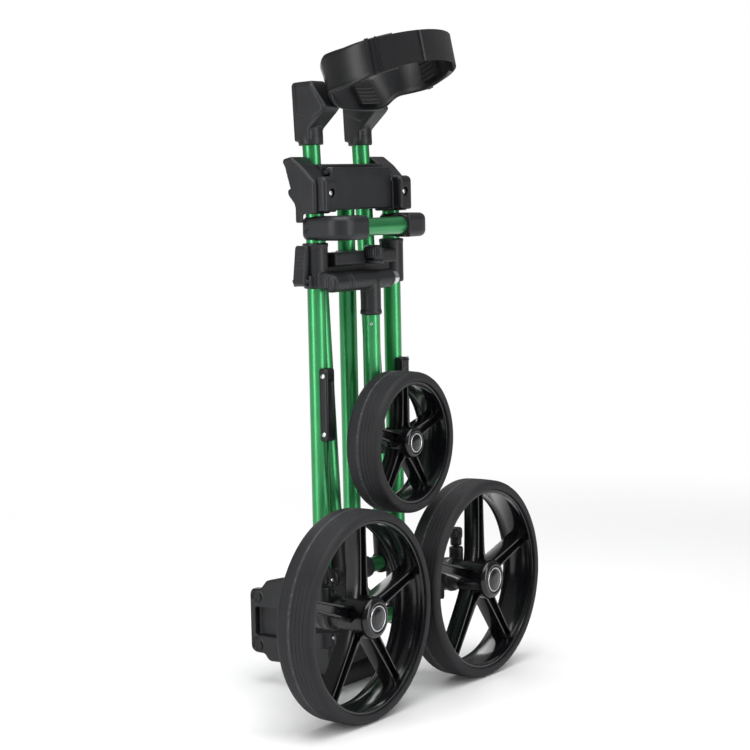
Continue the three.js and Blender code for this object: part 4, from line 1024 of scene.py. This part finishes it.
class TROLLEY_OT_wheels(bpy.types.Operator):
    """Three wheels: grooved tyre, rim with channel spokes, hub, cap and its bright ring."""

    bl_idname = "trolley.wheels"
    bl_label = "Wheels"

    def execute(self, context):
        settings = context.scene.trolley
        finishes, sizes = looks(settings), settings.sizes
        rows = [("rear_wheel_left", 29, -8, 42, 0.25, 0.7), ("rear_wheel_right", 29, -8, 42, 0.25, 0.7),
                ("front_wheel", 22, 0.4, 48, 0.33, 0.75)]
        for name, hub_radius, face, back, spoke_face, spoke_back in rows:
            size, centre = reach(name + "_tyre"), middle(name + "_tyre") - (0, Y_SHIFT, 0)
            radius, width = size[0] / 2, size[1]
            centre = centre - (0, width / 2, 0)
            depth = radius - reach(name + "_rim")[0] / 2
            tyre = tyre_shell(radius, width, depth, sizes.groove_count, sizes.groove_depth / MM, centre)
            piece = placed(name + "_tyre_skin", tyre, finishes["tyre"], name, [name + "_tyre"], 28)
            seam_on(piece, centre[1] + 0.6 * width)
            outer = radius - depth
            near, far = width * spoke_face + 0.4, width * spoke_back - 0.4
            spokes = [spoke_shell(hub_radius - 3, outer - 3.2, near, far, turn, centre)
                      for turn in np.arange(5) * 2 * np.pi / 5]
            barrel = rim_shell(radius, width, depth, near, far, centre)
            rim = joined(barrel, hub_shell(hub_radius, face, back, centre), *spokes)
            nodes = [node for node in (name + "_rim", name + "_spokes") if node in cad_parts]
            placed(name + "_rim_skin", rim, finishes["gloss"], name, nodes, 32)
            cap_radius = hub_radius * 0.69
            cap = cap_shell(cap_radius, face - 0.2, sizes.ring_radius, centre)
            placed(name + "_cap_skin", cap, finishes["gloss"], name, [name + "_cap"], 40)
            ring = ring_shell(cap_radius * sizes.ring_radius, face, centre)
            placed(name + "_cap_ring", ring, finishes["steel"], name)
        return {"FINISHED"}


class TROLLEY_OT_carriers(bpy.types.Operator):
    """Wheel carriers that swivel on the main tubes, with their lock knobs."""

    bl_idname = "trolley.carriers"
    bl_label = "Wheel carriers"

    def execute(self, context):
        finishes = looks(context.scene.trolley)
        for name, side in SIDES:
            x, wx = side * MAIN_X, middle(f"rear_wheel_{name}_tyre")[0]
            axle_z = middle(f"rear_wheel_{name}_tyre")[2]
            low, high = LOWER_BAR_Z + 15.4, UPPER_BAR_Z - 15.4
            knob_foot = axle_z + 41
            link = [(x, MAIN_Y + 15), (x - side * 6, MAIN_Y - 14), (wx - side * 20, 66), (wx + side * 4, 98)]
            shells = [
                rod((x, MAIN_Y, low), (x, MAIN_Y, high), 17, 1.5),
                rod((wx, 59, axle_z), (wx, 100, axle_z), 24, 3),
                rod((wx, 45, axle_z), (wx, 64, axle_z), 19, 1.5),
                prism(soft_outline(link, 3), "z", low + 3, high - 3, 2),
                rod((side * LOCK_X, LOCK_Y, axle_z), (side * LOCK_X, LOCK_Y, knob_foot - 2), 10.5, 1.5),
                *[rod((wx, y, axle_z), (wx, y + 3, axle_z), 25, 1) for y in (64, 76, 88)],
                *[rod((x, MAIN_Y, z), (x, MAIN_Y, z + 4), 17.8, 1) for z in (low + 1, high - 5)],
            ]
            node = f"wheel_carrier_{name}"
            moulded(node + "_skin", shells, finishes["plastic"], f"carrier_{name}", [node], 1.1)
            rows = [(6.2, 0), (8.0, 0.6), (8.5, 2), (8.5, 4), (8.5, 8), (8.5, 10), (9.8, 13), (10, 14),
                    (10, 18), (10, 22), (9.6, 24.4), (8.2, 26.4), (6, 27), (0.3, 27.1)]
            fluted = [0, 0, 0, 0, 0, 0, 0.5, 1, 1, 1, 0.5, 0, 0, 0]
            place = np.array((side * LOCK_X, LOCK_Y, knob_foot))
            knob = turned(rows, place, (0, 0, 1), 108, flutes=18, flute_depth=1.0, fluted=fluted)
            stem = rod(place - (0, 0, 10), place + (0, 0, 4), KNOB_STEM_RADIUS)
            node = f"lock_knob_{name}"
            look = finishes["plastic_smooth"]
            placed(node + "_skin", joined(knob, stem), look, node, [node])
        return {"FINISHED"}


class TROLLEY_OT_front_arm(bpy.types.Operator):
    """The front arm's pivot sleeve and lower fitting."""

    bl_idname = "trolley.front_arm"
    bl_label = "Front arm fittings"

    def execute(self, context):
        look = looks(context.scene.trolley)["plastic"]
        low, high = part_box("arm_tee")
        left, right = low.x / MM, high.x / MM
        foot = PIVOT_Z - 50
        sleeve = rod((left, PIVOT_Y, PIVOT_Z), (right, PIVOT_Y, PIVOT_Z), BOSS_RADIUS, 1.5)
        cup = rod((0, PIVOT_Y, foot), (0, PIVOT_Y, PIVOT_Z), 14.5, 2)
        lips = [rod((x, PIVOT_Y, PIVOT_Z), (x + 3, PIVOT_Y, PIVOT_Z), BOSS_RADIUS + 0.6, 0.8)
                for x in (left + 4, right - 7)]
        lips.append(rod((0, PIVOT_Y, foot + 1), (0, PIVOT_Y, foot + 7), 15.4, 1.2))
        moulded("arm_tee_skin", [sleeve, cup, *lips], look, "front_arm", ["arm_tee"], 0.9)
        wheel_z = middle("front_wheel_tyre")[2]
        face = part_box("front_wheel_tyre")[0].y / MM - Y_SHIFT
        shells = [
            rod((0, PIVOT_Y, wheel_z - 20), (0, PIVOT_Y, 410), TUBE_RADIUS + 3, 3),
            rod((0, face + 50, wheel_z), (0, PIVOT_Y, wheel_z), 15, 1.5),
            rod((0, face + 5, wheel_z), (0, PIVOT_Y, wheel_z), 6, 0.6),
            rod((0, PIVOT_Y, 402), (0, PIVOT_Y, 409), TUBE_RADIUS + 3.8, 1.2),
        ]
        moulded("arm_end_skin", shells, look, "front_arm", ["arm_end"], 0.9)
        return {"FINISHED"}


def screw_shell(place, out, radius):
    """A socket screw's head: the foot, a rounded shoulder, and a dished socket in the middle."""
    rows = [(radius, -1.6), (radius, 0.6), (radius * 0.94, 1.2), (radius * 0.78, 1.6), (radius * 0.5, 1.7),
            (radius * 0.46, 1.4), (radius * 0.42, 0.3), (0.25, 0.1)]
    return turned(rows, place, out, 36)


class TROLLEY_OT_hardware(bpy.types.Operator):
    """Screws, washers and rivets, and the finish of the plain pins."""

    bl_idname = "trolley.hardware"
    bl_label = "Screws and washers"

    def execute(self, context):
        settings = context.scene.trolley
        finishes, size = looks(settings), settings.sizes.screw_radius / MM
        screws = []
        tee_face_y = MAIN_Y - TUBE_RADIUS - SOCKET_WALL + 0.2
        for _, side in SIDES:
            screws += [screw_shell((side * 102, 110.5, z), (side, 0, 0), size) for z in GUARD_SCREWS]
            screws += [screw_shell((side * EAR_BOLT_X, 100.4, EAR_BOLT_Z), (0, -1, 0), size * 1.1)]
            screws += [screw_shell((side * MAIN_X, tee_face_y, z), (0, -1, 0), size * 0.8)
                       for z in (LOWER_BAR_Z, UPPER_BAR_Z)]
            screws += [screw_shell((side * 30, MAIN_Y + 9.3, 739), (0, 1, 0), size)]
        washers = [rod((x, PIVOT_Y, PIVOT_Z), (x + 1.0, PIVOT_Y, PIVOT_Z), 12, 0.3) for x in (-61.75, 45.0)]
        turn = np.linspace(0, 2 * np.pi, 16, endpoint=False)
        wire = np.column_stack([4 + np.cos(turn), np.sin(turn)])
        eyelet = turned(wire, (MAIN_X + 15.5, MAIN_Y - 14, GUARD_HIGH - 5), (0, 1, 0), 40, closed=True)
        placed("frame_screws", joined(*screws, *washers, eyelet), finishes["steel"], "frame")
        toward = unit((-0.8166, -0.5771, 0))
        middle_of_rivet = np.array((0, PIVOT_Y, PIVOT_Z - 62))
        rivets = [screw_shell(middle_of_rivet + way * 12.3, way, 2.4) for way in (toward, -toward)]
        placed("arm_rivets", joined(*rivets), finishes["steel"], "front_arm")
        for node in ("arm_pivot_pin", "rear_axle_left", "rear_axle_right"):
            bpy.data.objects[node].material_slots[0].material = finishes["steel"]
        return {"FINISHED"}


# ---------------------------------------------------------------- stage
class TROLLEY_OT_stage(bpy.types.Operator):
    """Pale floor, soft studio lights and the camera."""

    bl_idname = "trolley.stage"
    bl_label = "Stage, lights and camera"

    def execute(self, context):
        settings = context.scene.trolley.stage
        context.scene.view_settings.view_transform = "Standard"
        self.floor()
        self.world(context.scene)
        aim = Vector((AIM_X * MM, Y_SHIFT * MM, AIM_Z * MM))
        turn, tilt, roll = settings.azimuth, settings.elevation, settings.roll
        back = Vector((math.sin(turn) * math.cos(tilt), -math.cos(turn) * math.cos(tilt), math.sin(tilt)))
        right = Vector((math.cos(turn), math.sin(turn), 0))
        up = back.cross(right)
        across = right * math.cos(roll) + up * math.sin(roll)
        upward = up * math.cos(roll) - right * math.sin(roll)
        camera = bpy.data.objects.new("camera", bpy.data.cameras.new("camera"))
        camera.data.lens, camera.data.sensor_width = settings.lens, 36
        camera.matrix_world = Matrix.Translation(aim + back * settings.distance) @ Matrix(
            (across, upward, back)).transposed().to_4x4()
        context.scene.collection.objects.link(camera)
        context.scene.camera = camera
        strip = settings.strip_power
        for row in [("overhead", (-0.3, -0.5, 2.6), 0.2, 2.4, 2.4, settings.key_power),
                    ("strip_left", (-2.3, 0.55, 1.0), 0.5, 0.7, 2.2, strip),
                    ("strip_right", (0.2, -2.5, 1.0), 0.5, 0.8, 2.2, strip),
                    ("behind", (1.6, 1.9, 1.5), 0.5, 1.0, 2.0, strip * 0.6)]:
            self.light(context, *row)
        return {"FINISHED"}

    def light(self, context, name, place, aim_height, width, height, power):
        """A soft rectangle of light, aimed at a height above the trolley's middle."""
        lamp = bpy.data.lights.new(name, "AREA")
        lamp.shape, lamp.size, lamp.size_y, lamp.energy = "RECTANGLE", width, height, power
        holder = bpy.data.objects.new(name, lamp)
        direction = Vector(place) - Vector((0, 0, aim_height))
        facing = direction.to_track_quat("Z", "Y").to_matrix().to_4x4()
        holder.matrix_world = Matrix.Translation(place) @ facing
        context.scene.collection.objects.link(holder)

    def floor(self):
        """A disc whose far part shines like the background, so that no horizon shows."""
        turn = np.linspace(0, 2 * np.pi, 128, endpoint=False)
        radius = np.array([0.01, 0.5, 1.0, 2.0, 4.0, 8.0, 16.0])[:, None]
        rings = np.stack([radius * np.cos(turn), radius * np.sin(turn), np.zeros((7, 128)) - 2e-4], -1)
        points, faces = skin(rings)
        mesh = bpy.data.meshes.new("floor")
        mesh.from_pydata(points.tolist(), [], faces[:-1])
        disc = bpy.data.objects.new("floor", mesh)
        bpy.context.scene.collection.objects.link(disc)
        g = graph_of("Pale floor")
        here = g.node("ShaderNodeTexCoord", output="Object")
        far = g.node("ShaderNodeVectorMath", {"operation": "LENGTH"}, {0: here}, "Value").between(0.9, 2.2)
        grain = g.noise(60, 4)
        paint = g.node("ShaderNodeBsdfPrincipled", inputs={
            "Base Color": g.mix(grain, (0.86, 0.86, 0.865, 1), (0.88, 0.88, 0.885, 1)), "Roughness": 0.6})
        shine = g.node("ShaderNodeEmission", inputs={"Color": (1, 1, 1, 1), "Strength": 1.0})
        both = g.node("ShaderNodeMixShader", inputs={0: far, 1: paint, 2: shine})
        g.node("ShaderNodeOutputMaterial", inputs={"Surface": both})
        mesh.materials.append(g.owner)

    def world(self, scene):
        """White where the camera sees it; for light, dim at the horizon and brighter overhead."""
        world = bpy.data.worlds.new("Studio")
        scene.world = world
        g = Graph(world)
        sight = g.node("ShaderNodeLightPath", output="Is Camera Ray")
        height = g.node("ShaderNodeSeparateXYZ", inputs={0: g.node("ShaderNodeTexCoord", output="Generated")},
                        output=2)
        level = height.between(-0.2, 1.0) * 0.28 + 0.09
        dim = g.node("ShaderNodeBackground", inputs={"Color": (1, 1, 1, 1), "Strength": level})
        white = g.node("ShaderNodeBackground", inputs={"Color": (1, 1, 1, 1), "Strength": 1.0})
        both = g.node("ShaderNodeMixShader", inputs={0: sight, 1: dim, 2: white})
        g.node("ShaderNodeOutputWorld", inputs={"Surface": both})


OPERATORS = (
    TROLLEY_OT_tubes, TROLLEY_OT_fittings, TROLLEY_OT_bracket, TROLLEY_OT_clamp, TROLLEY_OT_handle,
    TROLLEY_OT_head, TROLLEY_OT_bag_frame, TROLLEY_OT_cradle, TROLLEY_OT_wheels, TROLLEY_OT_carriers,
    TROLLEY_OT_front_arm, TROLLEY_OT_hardware, TROLLEY_OT_stage,
)


class TROLLEY_PT_panel(bpy.types.Panel):
    """Sidebar list of the trolley's settings and pieces."""

    bl_idname = "TROLLEY_PT_panel"
    bl_label = "Golf push trolley"
    bl_space_type = "VIEW_3D"
    bl_region_type = "UI"
    bl_category = "Trolley"

    def draw(self, context):
        settings = context.scene.trolley
        for group in (settings.colours, settings.sizes, settings.stage):
            box = self.layout.box()
            for key in group.__annotations__:
                box.prop(group, key)
        for operator in OPERATORS:
            self.layout.operator(operator.bl_idname)


CLASSES = (TrolleyColours, TrolleySizes, TrolleyStage, TrolleySettings, *OPERATORS, TROLLEY_PT_panel)


def register():
    """Registers the classes and hangs the settings on the scene."""
    for cls in CLASSES:
        bpy.utils.register_class(cls)
    bpy.types.Scene.trolley = PointerProperty(type=TrolleySettings)


def unregister():
    """Undoes register."""
    del bpy.types.Scene.trolley
    for cls in reversed(CLASSES):
        bpy.utils.unregister_class(cls)


def main():
    """Builds everything."""
    register()
    for operator in OPERATORS:
        group, name = operator.bl_idname.split(".")
        getattr(getattr(bpy.ops, group), name)()


if __name__ == "__main__":
    main()
